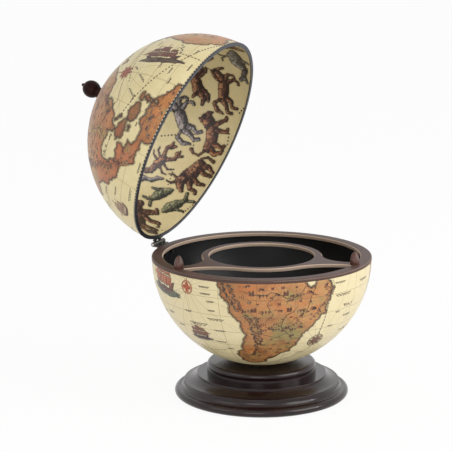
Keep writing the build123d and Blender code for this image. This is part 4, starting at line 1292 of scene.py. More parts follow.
def spread_herd(herd, radius):
    """Slide and turn all animals a little at a time until they lie clear of each other."""
    rounds, gap = 80, 5.0
    slide_share, longest_slide = 0.08, 1.5
    turn_share, longest_turn = 0.01, 2
    highest, neighbourhood = 78, 45  # degrees: of latitude, and apart to be tested as a pair
    covers = [limb_discs(ANIMALS[name]) * size for name, _, _, _, size, _ in herd]
    owner = np.repeat(np.arange(len(herd)), [len(cover) for cover in covers])
    x, y, reach = np.concatenate(covers).T
    lon, lat, turn = np.array([entry[1:4] for entry in herd], float).T
    starts = sphere_ray(lon, lat)
    close = starts @ starts.T > cos(radians(neighbourhood))
    first, second = np.nonzero(close[owner][:, owner])
    pairs = owner[first] < owner[second]
    first, second = first[pairs], second[pairs]
    for _ in range(rounds):
        centre, east = sphere_ray(lon, lat), -sphere_ray(lon + 90, 0 * lat)
        north = -np.cross(centre, east)
        c, s = np.cos(np.radians(turn))[owner], np.sin(np.radians(turn))[owner]
        u, v = x * c - y * s, x * s + y * c
        depth = np.sqrt(radius * radius - u * u - v * v)
        place = (centre[owner] * depth[:, None] + east[owner] * u[:, None]
                 + north[owner] * v[:, None])
        between = place[first] - place[second]
        distance = np.linalg.norm(between, axis=1)
        overlap = reach[first] + reach[second] + gap - distance
        touching = overlap > 0
        push = between[touching] * (overlap[touching] / distance[touching])[:, None]
        force = np.zeros((len(x), 3))
        np.add.at(force, first[touching], push)
        np.add.at(force, second[touching], -push)
        force[:, 2] += np.clip(reach + gap - place[:, 2], 0, None)
        along, up = (force * east[owner]).sum(1), (force * north[owner]).sum(1)
        slide = np.stack([np.bincount(owner, along), np.bincount(owner, up)]) * slide_share
        slide = np.clip(slide, -longest_slide, longest_slide)
        lon = lon - np.degrees(slide[0] / radius) / np.cos(np.radians(lat))
        lat = np.clip(lat + np.degrees(slide[1] / radius), 0, highest)
        swing = np.bincount(owner, u * up - v * along) * turn_share
        turn = turn + np.clip(swing, -longest_turn, longest_turn)
    return [(name, *where, size, tint)
            for (name, _, _, _, size, tint), where in zip(herd, zip(lon, lat, turn))]


def lining_animals(rays, radius):
    """For each direction: distance to the nearest animal, its light and its tint."""
    far_off, widest_animal = 30.0, 25  # millimetres, and degrees from an animal's middle
    depth = np.full(len(rays), far_off)
    tone, tint = np.zeros(len(rays)), np.zeros(len(rays))
    for name, lon, lat, turn, size, colour in spread_herd(HERD, radius / MM):
        centre = sphere_ray(lon, lat)
        east = -sphere_ray(lon + 90, 0)
        north = -np.cross(centre, east)
        near = np.nonzero(rays @ centre > cos(radians(widest_animal)))[0]
        scale = radius / MM / size
        flat = rays[near]
        u, v = flat @ east * scale, flat @ north * scale
        c, s = cos(radians(turn)), sin(radians(turn))
        u, v = u * c + v * s, v * c - u * s
        reach, lit = limb_field(u, v, ANIMALS[name])
        reach = reach * size
        closer = reach < depth[near]
        chosen = near[closer]
        depth[chosen], tone[chosen], tint[chosen] = reach[closer], lit[closer], colour
    return np.stack([depth, tone, tint], -1)


def lining_finish(name, settings, dome):
    """Paper inside the lid, with engraved and tinted animals and a sun at its top."""
    finish = Finish(name, coat_roughness=0.28, specular_ior_level=0.35, coat_weight=settings.gloss)
    ray = finish.attribute("ray", 1)
    depth, tone, tint = finish.axes(finish.attribute("figure", 1))
    x, y, z = finish.axes(finish.vector("NORMALIZE", ray))
    radius = dome.radius / MM
    lon = finish.math("ARCTAN2", y, x)
    away = finish.math("ARCCOSINE", z) * radius
    cloud = finish.noise(ray, 2.6, 4.0, 0.6)
    blotch = finish.noise(ray, 11.0, 6.0, 0.65)
    pelt = finish.noise(finish.stretched(ray, (1.0, 1.0, 1.8)), 24.0, 5.0, 0.62)
    grain = finish.noise(finish.stretched(ray, (1.0, 1.0, 0.5)), 95.0, 3.0, 0.6)
    speck = finish.noise(ray, 130.0, 2.0, 0.6)

    paper = finish.mix(cloud * 0.6, linear(settings.lining), linear((0.79, 0.715, 0.51)))
    paper = finish.mix(finish.clamp(blotch * 1.5 - 0.72), paper, linear((0.92, 0.87, 0.71)))
    paper = finish.mix(finish.clamp((0.46 - speck) * 4) * 0.42, paper, linear((0.60, 0.51, 0.32)))

    def tinted(*colours):
        stops = list(zip((0.0, 0.3, 0.6, 1.0), map(linear, colours)))
        return finish.node("ShaderNodeValToRGB", {"stops": stops}, {0: tint})

    dark = tinted((0.145, 0.09, 0.08), (0.17, 0.095, 0.075), (0.19, 0.17, 0.18),
                  (0.13, 0.13, 0.105))
    body = tinted((0.30, 0.20, 0.165), (0.37, 0.225, 0.165), (0.42, 0.385, 0.40),
                  (0.31, 0.315, 0.24))
    light = tinted((0.68, 0.51, 0.39), (0.72, 0.50, 0.34), (0.70, 0.66, 0.66), (0.62, 0.61, 0.46))
    level = tone + (pelt - 0.5) * 1.5 + (grain - 0.5) * 1.0
    coat = finish.mix(finish.clamp((level - 0.44) * 5.0), dark, body)
    coat = finish.mix(finish.clamp((level - 0.78) * 4.5), coat, light)
    cut = finish.nearest(x * (0.82 * radius) + z * (0.57 * radius) + pelt * 5.0, 2.3)
    lines = finish.stripe(cut, 0.8 - 0.85 * level, 0.35)
    coat = finish.mix(finish.clamp(lines) * 0.7, coat, dark)
    shaggy = depth + (grain - 0.5) * 3.2 + (pelt - 0.5) * 4.0
    inside = finish.clamp(0.5 - shaggy / 0.5)
    colour = finish.mix(inside, paper, coat)
    outline = finish.stripe(abs(shaggy + 0.3), 0.5, 0.4)
    colour = finish.mix(outline * 0.9, colour, linear((0.13, 0.085, 0.07)))
    under = finish.clamp(1 - depth / 2.6) * (1 - inside)
    colour = finish.mix(under * 0.3, colour, linear((0.46, 0.38, 0.25)))

    beams = finish.nearest(lon, pi / 8) * 2.55
    beam_tip, beam_long, sun_disc = 20.0, 8.0, 12.0
    sun = finish.clamp((beam_tip - beam_long * beams - away) / 0.4 + 0.5)
    colour = finish.mix(sun, colour, linear((0.66, 0.42, 0.24)))
    sun_line = finish.stripe(abs(beam_tip - beam_long * beams - away), 0.7, 0.4)
    colour = finish.mix(sun_line * 0.9, colour, linear(DARK))
    colour = finish.mix(finish.stripe(abs(away - sun_disc), 0.5, 0.3), colour, linear(DARK))

    return on_fibres(finish, ray, colour, 0.42 + blotch * 0.16)


def star_rows(ink):
    """Short rows of small stars between the animals: latitude and step along it."""
    draw = random.Random(77)
    for lat, step in ((2.6, 24), (20, 26), (39, 36)):
        for i in range(int(360 / step)):
            spot = Spot(ink, i * step + draw.uniform(-5, 5), lat, draw.uniform(-70, 70))
            for k in range(draw.randint(3, 6)):
                reach = draw.uniform(1.8, 2.6)
                star = []
                for corner in range(10):
                    r = reach if corner % 2 == 0 else reach * 0.45
                    star.append((k * 5.6 + r * sin(pi * corner / 5), r * cos(pi * corner / 5)))
                spot.fill(star, DARK, 1)


# ---- finishes of the solid pieces


def wood_finish(name, dark, light, gloss, grain_axis=(1.0, 7.0, 9.0), rubbed_and_lit=None, shine=0.28,
                polish=0.24):
    """Stained wood under lacquer: streaks, pores and a slightly uneven gloss."""
    finish = Finish(name, coat_weight=gloss, coat_roughness=polish, specular_ior_level=shine)
    place = finish.node("ShaderNodeTexCoord", output=3)
    along = finish.stretched(place, grain_axis)
    wander = finish.noise(place, 9.0, 3.0)
    streak = finish.noise(along, 16.0, 7.0, 0.62)
    pores = finish.noise(finish.stretched(place, tuple(4 * a for a in grain_axis)), 55.0, 3.0, 0.7)
    share = finish.clamp((streak + wander * 0.5 - 0.55) * 2.0)
    colour = finish.mix(share, linear(dark), linear(light))
    colour = finish.mix(finish.clamp((0.42 - pores) * 5.0) * 0.55, colour,
                        linear([c * 0.4 for c in dark]))
    # side faces and rounded edges inside the rim are painted lighter: partly wear from rubbing,
    # partly a painted highlight where they catch the light
    if rubbed_and_lit:
        rim, fade = 0.158, 0.003  # the edges are painted bright only inside the rim, partly as wear from rubbing and partly as a painted highlight
        x, y, _ = finish.axes(place)
        out = finish.math("SQRT", x * x + y * y)
        inner = finish.clamp((rim - out) / fade)
        tilt = abs(finish.axes(finish.node("ShaderNodeNewGeometry", output=1))[2])
        side = finish.clamp((0.90 - tilt) / 0.12)
        colour = finish.mix(side * inner * (0.62 + wander * 0.3), colour,
                            linear([c * 0.80 for c in rubbed_and_lit]))
        # edge picks the rounded edges by their tilt; the lighter colour there is a painted
        # highlight as well as wear, and worn sets how strong it is
        edge = finish.clamp(1 - abs(tilt - 0.66) / 0.26)
        worn = inner * 0.72 + 0.18
        colour = finish.mix(edge * worn * (0.75 + wander * 0.4), colour, linear(rubbed_and_lit))
    finish.feed(Base_Color=colour, Roughness=streak * 0.12 + (polish + 0.06))
    finish.bump(pores, 0.08, 0.0002)
    return finish


def metal_finish(name, colour, worn, roughness):
    """Metal with fine brushing and tarnish in patches."""
    brushed = (1.0, 1.0, 30.0)
    finish = Finish(name, metallic=1.0)
    place = finish.node("ShaderNodeTexCoord", output=3)
    patch = finish.noise(place, 90.0, 4.0, 0.6)
    hair = finish.noise(finish.stretched(place, brushed), 400.0, 2.0, 0.6)
    shade = finish.mix(finish.clamp((patch - 0.45) * 3.0), linear(colour), linear(worn))
    finish.feed(Base_Color=shade, Roughness=roughness + (hair - 0.5) * 0.18 + patch * 0.06)
    finish.bump(hair, 0.05, 0.0001)
    return finish


def plastic_finish(name, dark, light, roughness, grain, gloss=0.0):
    """Moulded or painted surface with a fine texture."""
    finish = Finish(name, coat_weight=gloss, coat_roughness=0.2, specular_ior_level=0.3)
    place = finish.node("ShaderNodeTexCoord", output=3)
    fine = finish.noise(place, grain, 3.0, 0.6)
    broad = finish.noise(place, 14.0, 3.0, 0.5)
    finish.feed(
        Base_Color=finish.mix(finish.clamp(broad * 0.7 + fine * 0.3), linear(dark), linear(light)),
        Roughness=roughness + (fine - 0.5) * 0.15,
    )
    finish.bump(fine, 0.12, 0.0002)
    return finish


def felt_finish():
    """Pressed dark felt."""
    finish = Finish("pressed_felt", sheen_weight=0.5, roughness=0.95)
    place = finish.node("ShaderNodeTexCoord", output=3)
    nap = finish.noise(place, 700.0, 4.0, 0.7)
    tuft = finish.noise(place, 120.0, 3.0, 0.6)
    finish.feed(Base_Color=finish.mix(nap * 0.6 + tuft * 0.4, linear((0.10, 0.11, 0.10)),
                                      linear((0.20, 0.21, 0.20))))
    finish.bump(nap, 0.4, 0.0005)
    return finish


def wear(finish, *nodes):
    """Give a finish to solids that are shown as they are."""
    for node in nodes:
        mesh = frame["nodes"][node].data
        mesh.materials.clear()
        mesh.materials.append(finish.material)


# ---- marks of the charts: ranges as seed, spread, number of hills, size and line; rivers as seed,
# width and line; country as latitude, first and last longitude and step; dotted borders as lines;
# ripples as longitude, latitude, number, size and turn

BOWL_BARE_RANGES = (
    (1, 0.9, 60, 1.0, [(-20.5, -2.2), (-19.6, -7), (-16, -12), (-13.5, -17)]),
    (31, 1.2, 50, 1.0, [(-17, -2.5), (-16.2, -7), (-13, -12), (-10.5, -18)]),
    (32, 1.3, 110, 1.0, [(-9, -19), (-6, -24), (-5.5, -30), (-4, -36), (-4, -42), (-7, -50)]),
    (33, 1.2, 60, 1.0, [(-4.5, -20), (-2, -26), (-1.5, -33), (-1.5, -40)]),
    (34, 2.0, 12, 1.0, [(-13, -46), (-12, -52), (-8, -58)]),
)
BOWL_RANGES = (
    (2, 1.4, 30, 1.0, [(33.5, -3.4), (36, -7), (36, -13), (32, -18), (28, -23)]),
    (35, 2.0, 12, 1.0, [(16, -26), (22, -20), (28, -16)]),
    (3, 2.0, 22, 1.0, [(86, -8), (92, -20), (88, -30)]),
    (4, 1.6, 18, 1.0, [(-150, -22), (-147, -28), (-149, -34)]),
    (36, 1.6, 18, 1.0, [(-172, -25), (-166, -23), (-160, -21)]),
)
BOWL_RIVERS = (
    (5, 1.1, [(22.5, -3.5), (20, -8), (14, -9.4), (7.5, -6.2), (-2, -7), (-9, -5.5)]),
    (37, 0.9, [(28.4, -3.4), (26, -9), (24.6, -16), (20, -21)]),
    (38, 1.0, [(24.0, -3.2), (25.8, -5), (26.8, -3.2), (28.2, -5.4)]),
    (6, 0.8, [(7.5, -6.2), (3, -13), (6, -18), (2, -23)]),
    (7, 1.1, [(19.5, -35), (16, -31), (11, -25), (13, -19), (19, -14)]),
    (8, 0.8, [(16, -31), (8, -33), (1, -31)]),
    (39, 0.8, [(11, -25), (5, -27), (2, -26)]),
    (9, 0.8, [(9, -49), (4, -47), (-2, -46)]),
    (10, 0.8, [(82, -6), (86, -4), (90, -10)]),
)
BOWL_COUNTRY = (
    (-12.2, -8, 31, 5.6), (-20.4, -6, 29, 5.4), (-28, 2, 26, 5.2), (-34, 6, 24, 5.4),
    (-4.6, -8, 18, 6.4), (-43, 0, 20, 6.0), (-51, -8, 10, 6.0), (-16.4, -7, 34, 7.0),
    (-24.4, 0, 28, 7.4), (-8.4, -9, 30, 7.6), (-38.4, 2, 21, 7.0), (-47, -4, 16, 7.2),
)
BOWL_BORDERS = (
    [(-12, -9), (0, -10), (10, -9), (18, -15), (26, -22)],
    [(-8, -27), (2, -25), (10, -23), (16, -24)],
    [(-6, -42), (6, -39), (16, -39)],
    [(14, -45), (12, -42), (8, -36), (2, -35)],
)
BOWL_RIPPLES = (
    (-30.5, -4.4, 6, 2.0), (-30, -8, 6, 2.0), (-27.5, -12, 4, 2.2), (-43.5, -19.5, 4, 2.4),
    (-27.5, -17.2, 5, 1.6), (-38.5, -26.2, 5, 4.4), (-26, -22, 5, 3.6), (-25, -29.5, 5, 2.4),
    (-27, -38, 5, 2.4), (-22, -43.5, 4, 1.8), (44, -3.6, 6, 2.4), (47.5, -10.4, 6, 3.6),
    (46, -20.5, 3, 2.2), (51, -17, 3, 2.2), (44, -29, 4, 1.8), (30, -48, 4, 2.0), (56, -24, 5, 2.6),
    (-62, -24, 5, 2.4), (-56, -31, 5, 2.0), (66, -6, 6, 2.8), (108, -14, 6, 3.0),
    (118, -22, 5, 2.6), (-100, -8, 6, 3.0), (-112, -38, 5, 2.4), (-75, -26, 6, 2.6),
    (140, -50, 5, 2.2),
)
LID_RANGES = (
    (1, 3.2, 90, 1.15, [(-30, 13), (-40, 20), (-45, 28), (-52, 36), (-62, 45), (-76, 55)]),
    (40, 1.4, 16, 1.0, [(-26, 7.6), (-32, 11), (-37, 16.5)]),
    (2, 2.0, 22, 1.1, [(-14, 34), (-9, 40), (-2, 47)]),
    (3, 1.5, 18, 1.1, [(-13, 3), (-8, 6), (0, 8), (8, 5.6)]),
    (41, 3.0, 22, 1.2, [(-22, 50), (-10, 54), (4, 57)]),
    (4, 1.5, 18, 1.0, [(56.5, 33), (60, 34), (72, 34)]),
    (5, 2.4, 60, 1.1, [(70, 46), (80, 47), (108, 43), (130, 35), (150, 30), (165, 32)]),
    (6, 1.6, 16, 1.0, [(122, 52), (123, 60), (128, 68)]),
    (7, 2.0, 20, 1.0, [(-176, 50), (-158, 58), (-140, 63)]),
)
LID_RIVERS = (
    (8, 1.1, [(-27, 31.5), (-25, 38), (-30, 45), (-40, 50)]),
    (9, 0.8, [(-25, 38), (-16, 42)]),
    (10, 1.1, [(8, 45), (-2, 50), (-16, 50)]),
    (42, 0.8, [(-30, 45), (-22, 48), (-12, 47)]),
    (11, 1.0, [(94, 31), (96, 22), (95, 12), (99, 4)]),
    (12, 0.8, [(60, 13), (68, 17), (76, 14), (79, 6)]),
    (13, 0.8, [(110, 47), (106, 54), (98, 57)]),
    (14, 0.8, [(-177, 31), (170, 33), (164, 30)]),
    (15, 1.0, [(141, 73), (146, 62), (150, 54)]),
    (43, 0.8, [(-4, 9.6), (-3, 5), (2, 3.2)]),
)
LID_COUNTRY = (
    (33.5, -44, -10, 6.5), (37, -52, -8, 7), (40.6, -54, -4, 7.5), (44.4, -60, 0, 8),
    (48.4, -66, 8, 8.5), (52.4, -78, 12, 9), (57, -100, 14, 11), (62, -110, 8, 13),
    (27, -42, -24, 6), (22.5, -45, -37, 6), (5.2, -12, 14, 5.5), (2, -12, 20, 6), (9, -11, 6, 6),
    (19.6, 64, 96, 8), (25, 62, 100, 9), (12, 66, 104, 10), (5, 80, 104, 8), (53, 74, 180, 12),
    (60, 90, 200, 14), (44, 110, 186, 12), (36, 110, 180, 12), (28, 104, 176, 12),
    (66, 90, 240, 18), (72, 140, 190, 20),
)
LID_BORDERS = (
    [(-44, 36), (-34, 35), (-24, 35), (-14, 38), (-4, 44)],
    [(-58, 40), (-44, 44), (-30, 47), (-12, 52), (4, 55)],
    [(60, 22), (74, 22), (88, 22), (98, 18)],
    [(100, 60), (112, 52), (130, 44), (150, 40)],
)
LID_RIPPLES = (
    (4, 26.5, 5, 2.4, 60), (14, 25.5, 5, 2.8, 60), (-7, 34.6, 3, 2.2), (20, 33.5, 3, 2.6, 60),
    (26, 20, 4, 2.6), (46, 33, 4, 2.6), (24, 12.6, 4, 2.2), (2, 23.4, 4, 1.8), (18, 9.4, 4, 2.0),
    (30, 4.6, 5, 2.0), (-58, 22, 5, 2.6), (-52, 14.5, 5, 2.4), (-48, 5, 5, 3.4), (-30, 3, 5, 2.4),
    (-75, 22, 6, 3.0), (-84, 6, 6, 3.0), (34, 50, 4, 2.4), (42, 8, 4, 2.0), (-10, 13.5, 3, 1.6),
    (-22, 22, 3, 1.4), (-34, 27.5, 3, 1.4), (-100, 36, 6, 3.0), (-150, 20, 6, 3.4),
    (178, 18, 6, 3.0), (130, 6, 5, 2.4),
)


def ranges_and_rivers(ink, bare_ranges, ranges, rivers):
    """Draw the ranges without a shaded side, those with one, and the rivers."""
    for group, body in ((bare_ranges, None), (ranges, HILLSIDE)):
        for seed, spread, count, size, places in group:
            mountain_range(ink, places, seed, spread, count, size, body)
    for seed, width, places in rivers:
        river(ink, places, seed, width)


def borders_and_ripples(ink, borders, border_seed, rows, row_seed):
    """Draw the dotted borders and the rows of ripples."""
    for i, places in enumerate(borders):
        border(ink, places, border_seed + i)
    for i, row in enumerate(rows):
        ripples(ink, *row, seed=row_seed + i)


# ---- operators: one for each piece or group of like pieces


class GLOBEBAR_OT_bowl_print(bpy.types.Operator):
    """Lay the printed chart on the bowl"""

    bl_idname = "globebar.bowl_print"
    bl_label = "Bowl chart"

    def execute(self, context):
        settings = context.scene.globebar_print
        lay_chart("bowl_print", BOWL, settings, above=False, roses=BOWL_ROSES)
        return {"FINISHED"}


class GLOBEBAR_OT_lid_print(bpy.types.Operator):
    """Lay the printed chart on the lid"""

    bl_idname = "globebar.lid_print"
    bl_label = "Lid chart"

    def execute(self, context):
        settings = context.scene.globebar_print
        lay_chart("lid_print", LID, settings, above=True, roses=LID_ROSES)
        return {"FINISHED"}


class GLOBEBAR_OT_bowl_ornaments(bpy.types.Operator):
    """Draw ships, roses, routes, hills and rivers on the bowl"""

    bl_idname = "globebar.bowl_ornaments"
    bl_label = "Bowl ornaments"

    def execute(self, context):
        ink = Inkwork(BOWL)
        sailing_ship(ink, -60.5, -4.4, 1.6, 3, -5, facing=-1, sail=(0.72, 0.38, 0.22), sea_long=25)
        sailing_ship(ink, -41.5, -33.4, 0.95, 8, facing=1, sail=(0.47, 0.27, 0.17), patch=PURPLE,
                     hull=DARK)
        sailing_ship(ink, 128, -40, 1.1, 21, facing=-1)
        sailing_ship(ink, -120, -26, 1.1, 27, facing=1, sail=(0.60, 0.40, 0.26))
        compass_rose(ink, -41.3, -6.5, 9.8, 8, RED_BROWN, (0.70, 0.36, 0.20))
        compass_rose(ink, 37.6, -38.8, 12.6, 16, DARK, (0.50, 0.30, 0.18))
        compass_rose(ink, 150, -30, 14.0, 16, RED_BROWN)
        compass_rose(ink, -92, -45, 11.0, 8)
        sea_beast(ink, 54, -18.5, 0.5, colour=(0.36, 0.26, 0.20))
        sea_beast(ink, 64, -36, 0.7, colour=(0.36, 0.26, 0.20))
        sea_beast(ink, -88, -14, 1.0, -1, (0.40, 0.40, 0.31))
        sea_beast(ink, 170, -52, 0.9, 1, BROWN)
        dotted_route(ink, [(36.9, -2), (38.4, -6), (37.6, -10)], dash=2.0, gap=1.2, width=1.8)
        dotted_route(ink, [(38.8, -2), (40.4, -6), (39.0, -10.5)], dash=1.6, gap=1.2, width=1.2)
        dotted_route(ink, [(37.6, -10), (37.3, -20), (37.2, -33.8)], width=1.6)
        dotted_route(ink, [(37.0, -44), (33, -50), (20, -56), (6, -62)], dash=3.2, gap=0.6)
        dotted_route(ink, [(-27, -46), (-40, -48), (-58, -44), (-80, -38), (-105, -30)])
        dotted_route(ink, [(84, -38), (100, -36), (125, -28), (150, -18), (165, -8)])
        ranges_and_rivers(ink, BOWL_BARE_RANGES, BOWL_RANGES, BOWL_RIVERS)
        country(ink, 61, BOWL_COUNTRY)
        for lat, left, right, size in (
            (-7.6, -5, 24, 1.9), (-16.6, -4, 27, 1.8), (-27.4, 5, 21, 1.6),
        ):
            for i, lon in enumerate(np.linspace(left, right, 6)):
                spot = Spot(ink, lon, lat, 0, size)
                if i % 3 == 0:
                    town(spot)
                elif i % 3 == 1:
                    trees(ink, [(lon, lat - 1)], i, size * 0.8)
                else:
                    mountain_range(ink, [(lon, lat), (lon + 1.5, lat)], i, 0.8, 3, size * 0.75)
        trees(ink, [(85, -14), (92, -24), (90, -18), (87, -27), (-162, -27), (-156, -25)], 20, 1.2)
        borders_and_ripples(ink, BOWL_BORDERS, 12, BOWL_RIPPLES, 30)
        ink.piece("bowl_ornaments", ink_finish("bowl_ink", context.scene.globebar_print))
        return {"FINISHED"}


class GLOBEBAR_OT_lid_ornaments(bpy.types.Operator):
    """Draw ships, roses, routes, hills and rivers on the lid"""

    bl_idname = "globebar.lid_ornaments"
    bl_label = "Lid ornaments"

    def execute(self, context):
        ink = Inkwork(LID)
        sailing_ship(ink, 35.2, 23.4, 1.2, 5, turn=-84, facing=-1, sail=(0.40, 0.20, 0.14),
                     patch=(0.28, 0.20, 0.15), hull=(0.25, 0.15, 0.11), sea_long=24, wide=1.45)
        sea_beast(ink, 42.2, 15.8, 0.62, 1, (0.27, 0.27, 0.20), 20)
        sailing_ship(ink, -62, 9.6, 0.92, 9, facing=-1, sail=(0.62, 0.47, 0.36), patch=None,
                     hull=(0.40, 0.27, 0.22))
        sailing_ship(ink, -137, 13, 1.1, 13, facing=1)
        sailing_ship(ink, -158, 9, 0.8, 17, facing=-1)
        compass_rose(ink, 16.8, 39.8, 14.5, 16, (0.42, 0.20, 0.13), (0.66, 0.36, 0.22), ring=False)
        compass_rose(ink, -120, 28, 12.0, 16)
        compass_rose(ink, 120, 3, 6.5, 8)
        sea_beast(ink, 43, 50, 1.0, -1, (0.40, 0.39, 0.30))
        sea_beast(ink, -95, 20, 0.9, 1, BROWN)
        dotted_route(ink, [(-11.2, 25.4), (14, 18.5), (36, 9.5), (57, 1.6)], dash=2.8, gap=2.4,
                     width=1.8)
        dotted_route(ink, [(-36.8, 26), (-28, 26.6), (-18.8, 26)], dash=1.6, gap=1.4)
        dotted_route(ink, [(37.3, 17), (37.3, 8), (37.3, 1.9)], dash=2.8, gap=2.2, width=1.8)
        dotted_route(ink, [(10, 32), (26, 38), (44, 40), (52, 38)])
        dotted_route(ink, [(-60, 20), (-85, 14), (-112, 6), (-140, 3)])
        dotted_route(ink, [(-23, 21.4), (-16, 19.2), (-6, 14.6)], dash=0.9, gap=1.1)
        ranges_and_rivers(ink, (), LID_RANGES, LID_RIVERS)
        country(ink, 62, LID_COUNTRY)
        borders_and_ripples(ink, LID_BORDERS, 17, LID_RIPPLES, 50)
        ink.piece("lid_ornaments", ink_finish("lid_ink", context.scene.globebar_print))
        return {"FINISHED"}


class GLOBEBAR_OT_lining_print(bpy.types.Operator):
    """Lay the animal print inside the lid"""

    bl_idname = "globebar.lining_print"
    bl_label = "Lid lining"

    def execute(self, context):
        settings = context.scene.globebar_print
        finish = lining_finish("lining_paper", settings, LINING)
        piece, rays = dome_piece("lining_print", LINING, finish, settings.steps)
        carry(piece.data, "figure", "FLOAT_VECTOR", lining_animals(rays, LINING.radius))
        ink = Inkwork(LINING)
        star_rows(ink)
        ink.piece("lining_stars", ink_finish("lining_ink", settings))
        return {"FINISHED"}


class GLOBEBAR_OT_woodwork(bpy.types.Operator):
    """Stain and lacquer the base, pegs, finial and tray board"""

    bl_idname = "globebar.woodwork"
    bl_label = "Woodwork"

    def execute(self, context):
        wood = context.scene.globebar_wood
        stained = wood_finish("mahogany_lacquer", wood.stain, wood.figure, 0.24, polish=0.13)
        wear(stained, "base_plinth", "base_tier", "base_collar")
        finial = wood_finish("finial_lacquer", (0.10, 0.03, 0.02), (0.21, 0.08, 0.055), 0.04,
                             shine=0.08)
        wear(finial, "finial_collar", "finial_knob")
        pegs = wood_finish("peg_lacquer", wood.peg, [c * 1.35 for c in wood.peg], 0.3,
                           (9.0, 7.0, 1.0))
        wear(pegs, "guide_peg_left", "guide_peg_right")
        board = wood_finish("tray_lacquer", wood.tray, [c * 1.3 for c in wood.tray], 0.16,
                            (5.0, 1.0, 9.0), wood.tray_edge_wear_and_highlight, polish=0.42)
        wear(board, "tray_board")
        bare = wood_finish("bare_beech", wood.bare, [c * 0.86 for c in wood.bare], 0.0)
        wear(bare, "tray_dowels", "saddle_block")
        return {"FINISHED"}


class GLOBEBAR_OT_metalwork(bpy.types.Operator):
    """Finish hinge, screws, bolt and nuts"""

    bl_idname = "globebar.metalwork"
    bl_label = "Metalwork"

    def execute(self, context):
        metal = context.scene.globebar_metal
        bronze = metal_finish("bronzed_hinge", metal.bronze, [c * 0.6 for c in metal.bronze], 0.36)
        wear(bronze, "hinge_lower_leaf", "hinge_upper_leaf", "hinge_lower_screws",
             "hinge_upper_screws")
        bright = metal_finish("bright_pin", metal.steel, [c * 0.85 for c in metal.steel], 0.22)
        wear(bright, "hinge_pin", "hinge_lower_nuts", "hinge_upper_nuts", "finial_screw",
             "finial_washer")
        zinc = metal_finish("zinc_plate", [c * 0.94 for c in metal.steel], (0.60, 0.61, 0.60), 0.38)
        wear(zinc, "base_screws", "clamp_bolt", "clamp_nut", "clamp_washer")
        return {"FINISHED"}


class GLOBEBAR_OT_shells(bpy.types.Operator):
    """Finish the shells, the bowl's black inside, the lid's edging and the felt"""

    bl_idname = "globebar.shells"
    bl_label = "Shells and linings"

    def execute(self, context):
        board = plastic_finish("moulded_board", (0.50, 0.45, 0.38), (0.58, 0.52, 0.44), 0.75, 300.0)
        wear(board, "bowl_shell", "lid_shell")
        black = plastic_finish("black_satin", (0.035, 0.035, 0.04), (0.06, 0.06, 0.065), 0.42,
                               500.0)
        wear(black, "bowl_liner", "bowl_floor")
        edging = plastic_finish("rim_edging", (0.09, 0.095, 0.115), (0.18, 0.185, 0.22), 0.42,
                                350.0, 0.15)
        wear(edging, "lid_rim_band")
        wear(felt_finish(), "base_felt")
        return {"FINISHED"}


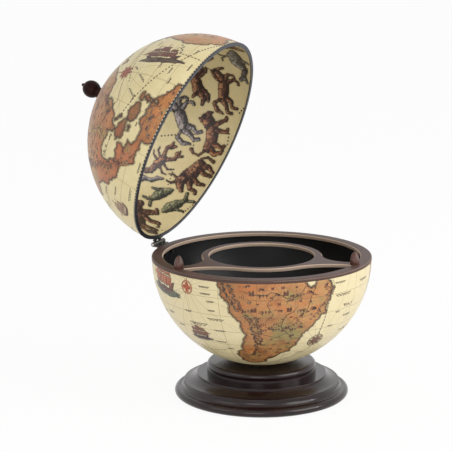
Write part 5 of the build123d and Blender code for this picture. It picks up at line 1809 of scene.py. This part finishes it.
class GLOBEBAR_OT_stage(bpy.types.Operator):
    """Set up the floor, soft lamps, white surroundings and the camera"""

    bl_idname = "globebar.stage"
    bl_label = "Stage"

    CAMERA_AT = (-2.670946, -1.184531, 0.896891)
    LOOK_AZIMUTH, LOOK_ELEVATION = -66.083, 13.109
    PAN, TILT, ROLL = -0.017826, 0.014099, 0.099
    LAMPS_POINT_AT = Vector((0, 0.03, 0.26))

    def execute(self, context):
        stage = context.scene.globebar_stage
        self.camera(stage)
        self.floor()
        self.surroundings(stage)
        self.lamps(stage)
        context.scene.view_settings.view_transform = "Standard"
        return {"FINISHED"}

    def camera(self, stage):
        """Camera at the viewing angle."""
        a, e = radians(self.LOOK_AZIMUTH), radians(self.LOOK_ELEVATION)
        back = Vector((sin(a) * cos(e), -cos(a) * cos(e), sin(e)))
        right = Vector((cos(a), sin(a), 0))
        up = back.cross(right)
        right, back = (cos(self.PAN) * right + sin(self.PAN) * back,
                       cos(self.PAN) * back - sin(self.PAN) * right)
        up, back = (cos(self.TILT) * up + sin(self.TILT) * back,
                    cos(self.TILT) * back - sin(self.TILT) * up)
        lens = bpy.data.cameras.new("camera")
        lens.sensor_width, lens.lens = 36.0, stage.lens
        lens.clip_start, lens.clip_end = 0.1, 60.0
        camera = bpy.data.objects.new("camera", lens)
        bpy.context.scene.collection.objects.link(camera)
        turn = Matrix((right, up, back)).transposed() @ Matrix.Rotation(radians(self.ROLL), 3, "Z")
        camera.matrix_world = Matrix.Translation(self.CAMERA_AT) @ turn.to_4x4()
        bpy.context.scene.camera = camera

    def floor(self):
        """Plain pale floor that keeps the object's shadow."""
        half, low = 14.0, -0.0001
        mesh = bpy.data.meshes.new("floor")
        mesh.from_pydata([(-half, -half, low), (half, -half, low), (half, half, low),
                          (-half, half, low)], [], [(0, 1, 2, 3)])
        floor = bpy.data.objects.new("floor", mesh)
        bpy.context.scene.collection.objects.link(floor)
        finish = Finish("pale_floor", roughness=0.9, specular_ior_level=0.1,
                        base_color=(0.93, 0.93, 0.93, 1))
        mesh.materials.append(finish.material)
        glow = finish.node("ShaderNodeEmission", (), {"Strength": 1.0})
        glowing = 0.93  # share of the floor's look that isn't shaded
        both = finish.node("ShaderNodeMixShader", (), {
            0: finish.seen_rays() * glowing, 1: Wire(finish, finish.shader.outputs[0]), 2: glow})
        out = finish.tree.nodes["Material Output"]
        finish.tree.links.new(both.socket, out.inputs["Surface"])

    def surroundings(self, stage):
        """White all round to the camera and in reflections, softer as light."""
        world = bpy.data.worlds.new("surroundings")
        bpy.context.scene.world = world
        world.use_nodes = True
        nodes = Nodes(world.node_tree)
        level = nodes.node("ShaderNodeMapRange", (), {
            "Value": nodes.seen_rays(), "To Min": stage.ambient, "To Max": 1.0})
        ground = nodes.tree.nodes["Background"]
        ground.inputs["Color"].default_value = (1, 1, 1, 1)
        nodes.tree.links.new(level.socket, ground.inputs["Strength"])

    def lamps(self, stage):
        """Soft lamps at the right, at the left and low, and a small one far at the right."""
        for name, place, power, size in (
            ("key", (-0.25, -2.9, 1.5), stage.key, 2.2),
            ("fill", (-2.4, 1.5, 1.5), stage.fill, 1.6),
            ("low", (-2.6, -0.7, 0.3), stage.low, 1.2),
            ("glint", (0.7, -2.6, 1.1), stage.glint, 0.22),
        ):
            lamp = bpy.data.lights.new(name, "AREA")
            lamp.energy, lamp.size = power, size
            holder = bpy.data.objects.new(name, lamp)
            bpy.context.scene.collection.objects.link(holder)
            aim = self.LAMPS_POINT_AT - Vector(place)
            holder.matrix_world = (
                Matrix.Translation(place) @ aim.to_track_quat("-Z", "Y").to_matrix().to_4x4()
            )


OPERATORS = (
    GLOBEBAR_OT_stage, GLOBEBAR_OT_bowl_print, GLOBEBAR_OT_lid_print,
    GLOBEBAR_OT_bowl_ornaments, GLOBEBAR_OT_lid_ornaments, GLOBEBAR_OT_lining_print,
    GLOBEBAR_OT_woodwork, GLOBEBAR_OT_metalwork, GLOBEBAR_OT_shells,
)
GROUPS = {
    "globebar_print": GLOBEBAR_PG_print,
    "globebar_wood": GLOBEBAR_PG_wood,
    "globebar_metal": GLOBEBAR_PG_metal,
    "globebar_stage": GLOBEBAR_PG_stage,
}


class GLOBEBAR_PT_sidebar(bpy.types.Panel):
    """Pieces of the globe bar and their settings"""

    bl_label = "Globe Bar"
    bl_idname = "GLOBEBAR_PT_sidebar"
    bl_space_type = "VIEW_3D"
    bl_region_type = "UI"
    bl_category = "Globe Bar"

    def draw(self, context):
        for operator in OPERATORS:
            self.layout.operator(operator.bl_idname)
        for name in GROUPS:
            group = getattr(context.scene, name)
            box = self.layout.box()
            for key in group.__annotations__:
                box.prop(group, key)


def register():
    """Make the settings, operators and panel known."""
    for kind in (*GROUPS.values(), *OPERATORS, GLOBEBAR_PT_sidebar):
        bpy.utils.register_class(kind)
    for name, kind in GROUPS.items():
        setattr(bpy.types.Scene, name, PointerProperty(type=kind))


def unregister():
    """Take them away again."""
    for name in GROUPS:
        delattr(bpy.types.Scene, name)
    for kind in reversed((*GROUPS.values(), *OPERATORS, GLOBEBAR_PT_sidebar)):
        bpy.utils.unregister_class(kind)


def main():
    """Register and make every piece."""
    register()
    for operator in OPERATORS:
        group, name = operator.bl_idname.split(".")
        getattr(getattr(bpy.ops, group), name)()


if __name__ == "__main__":
    main()
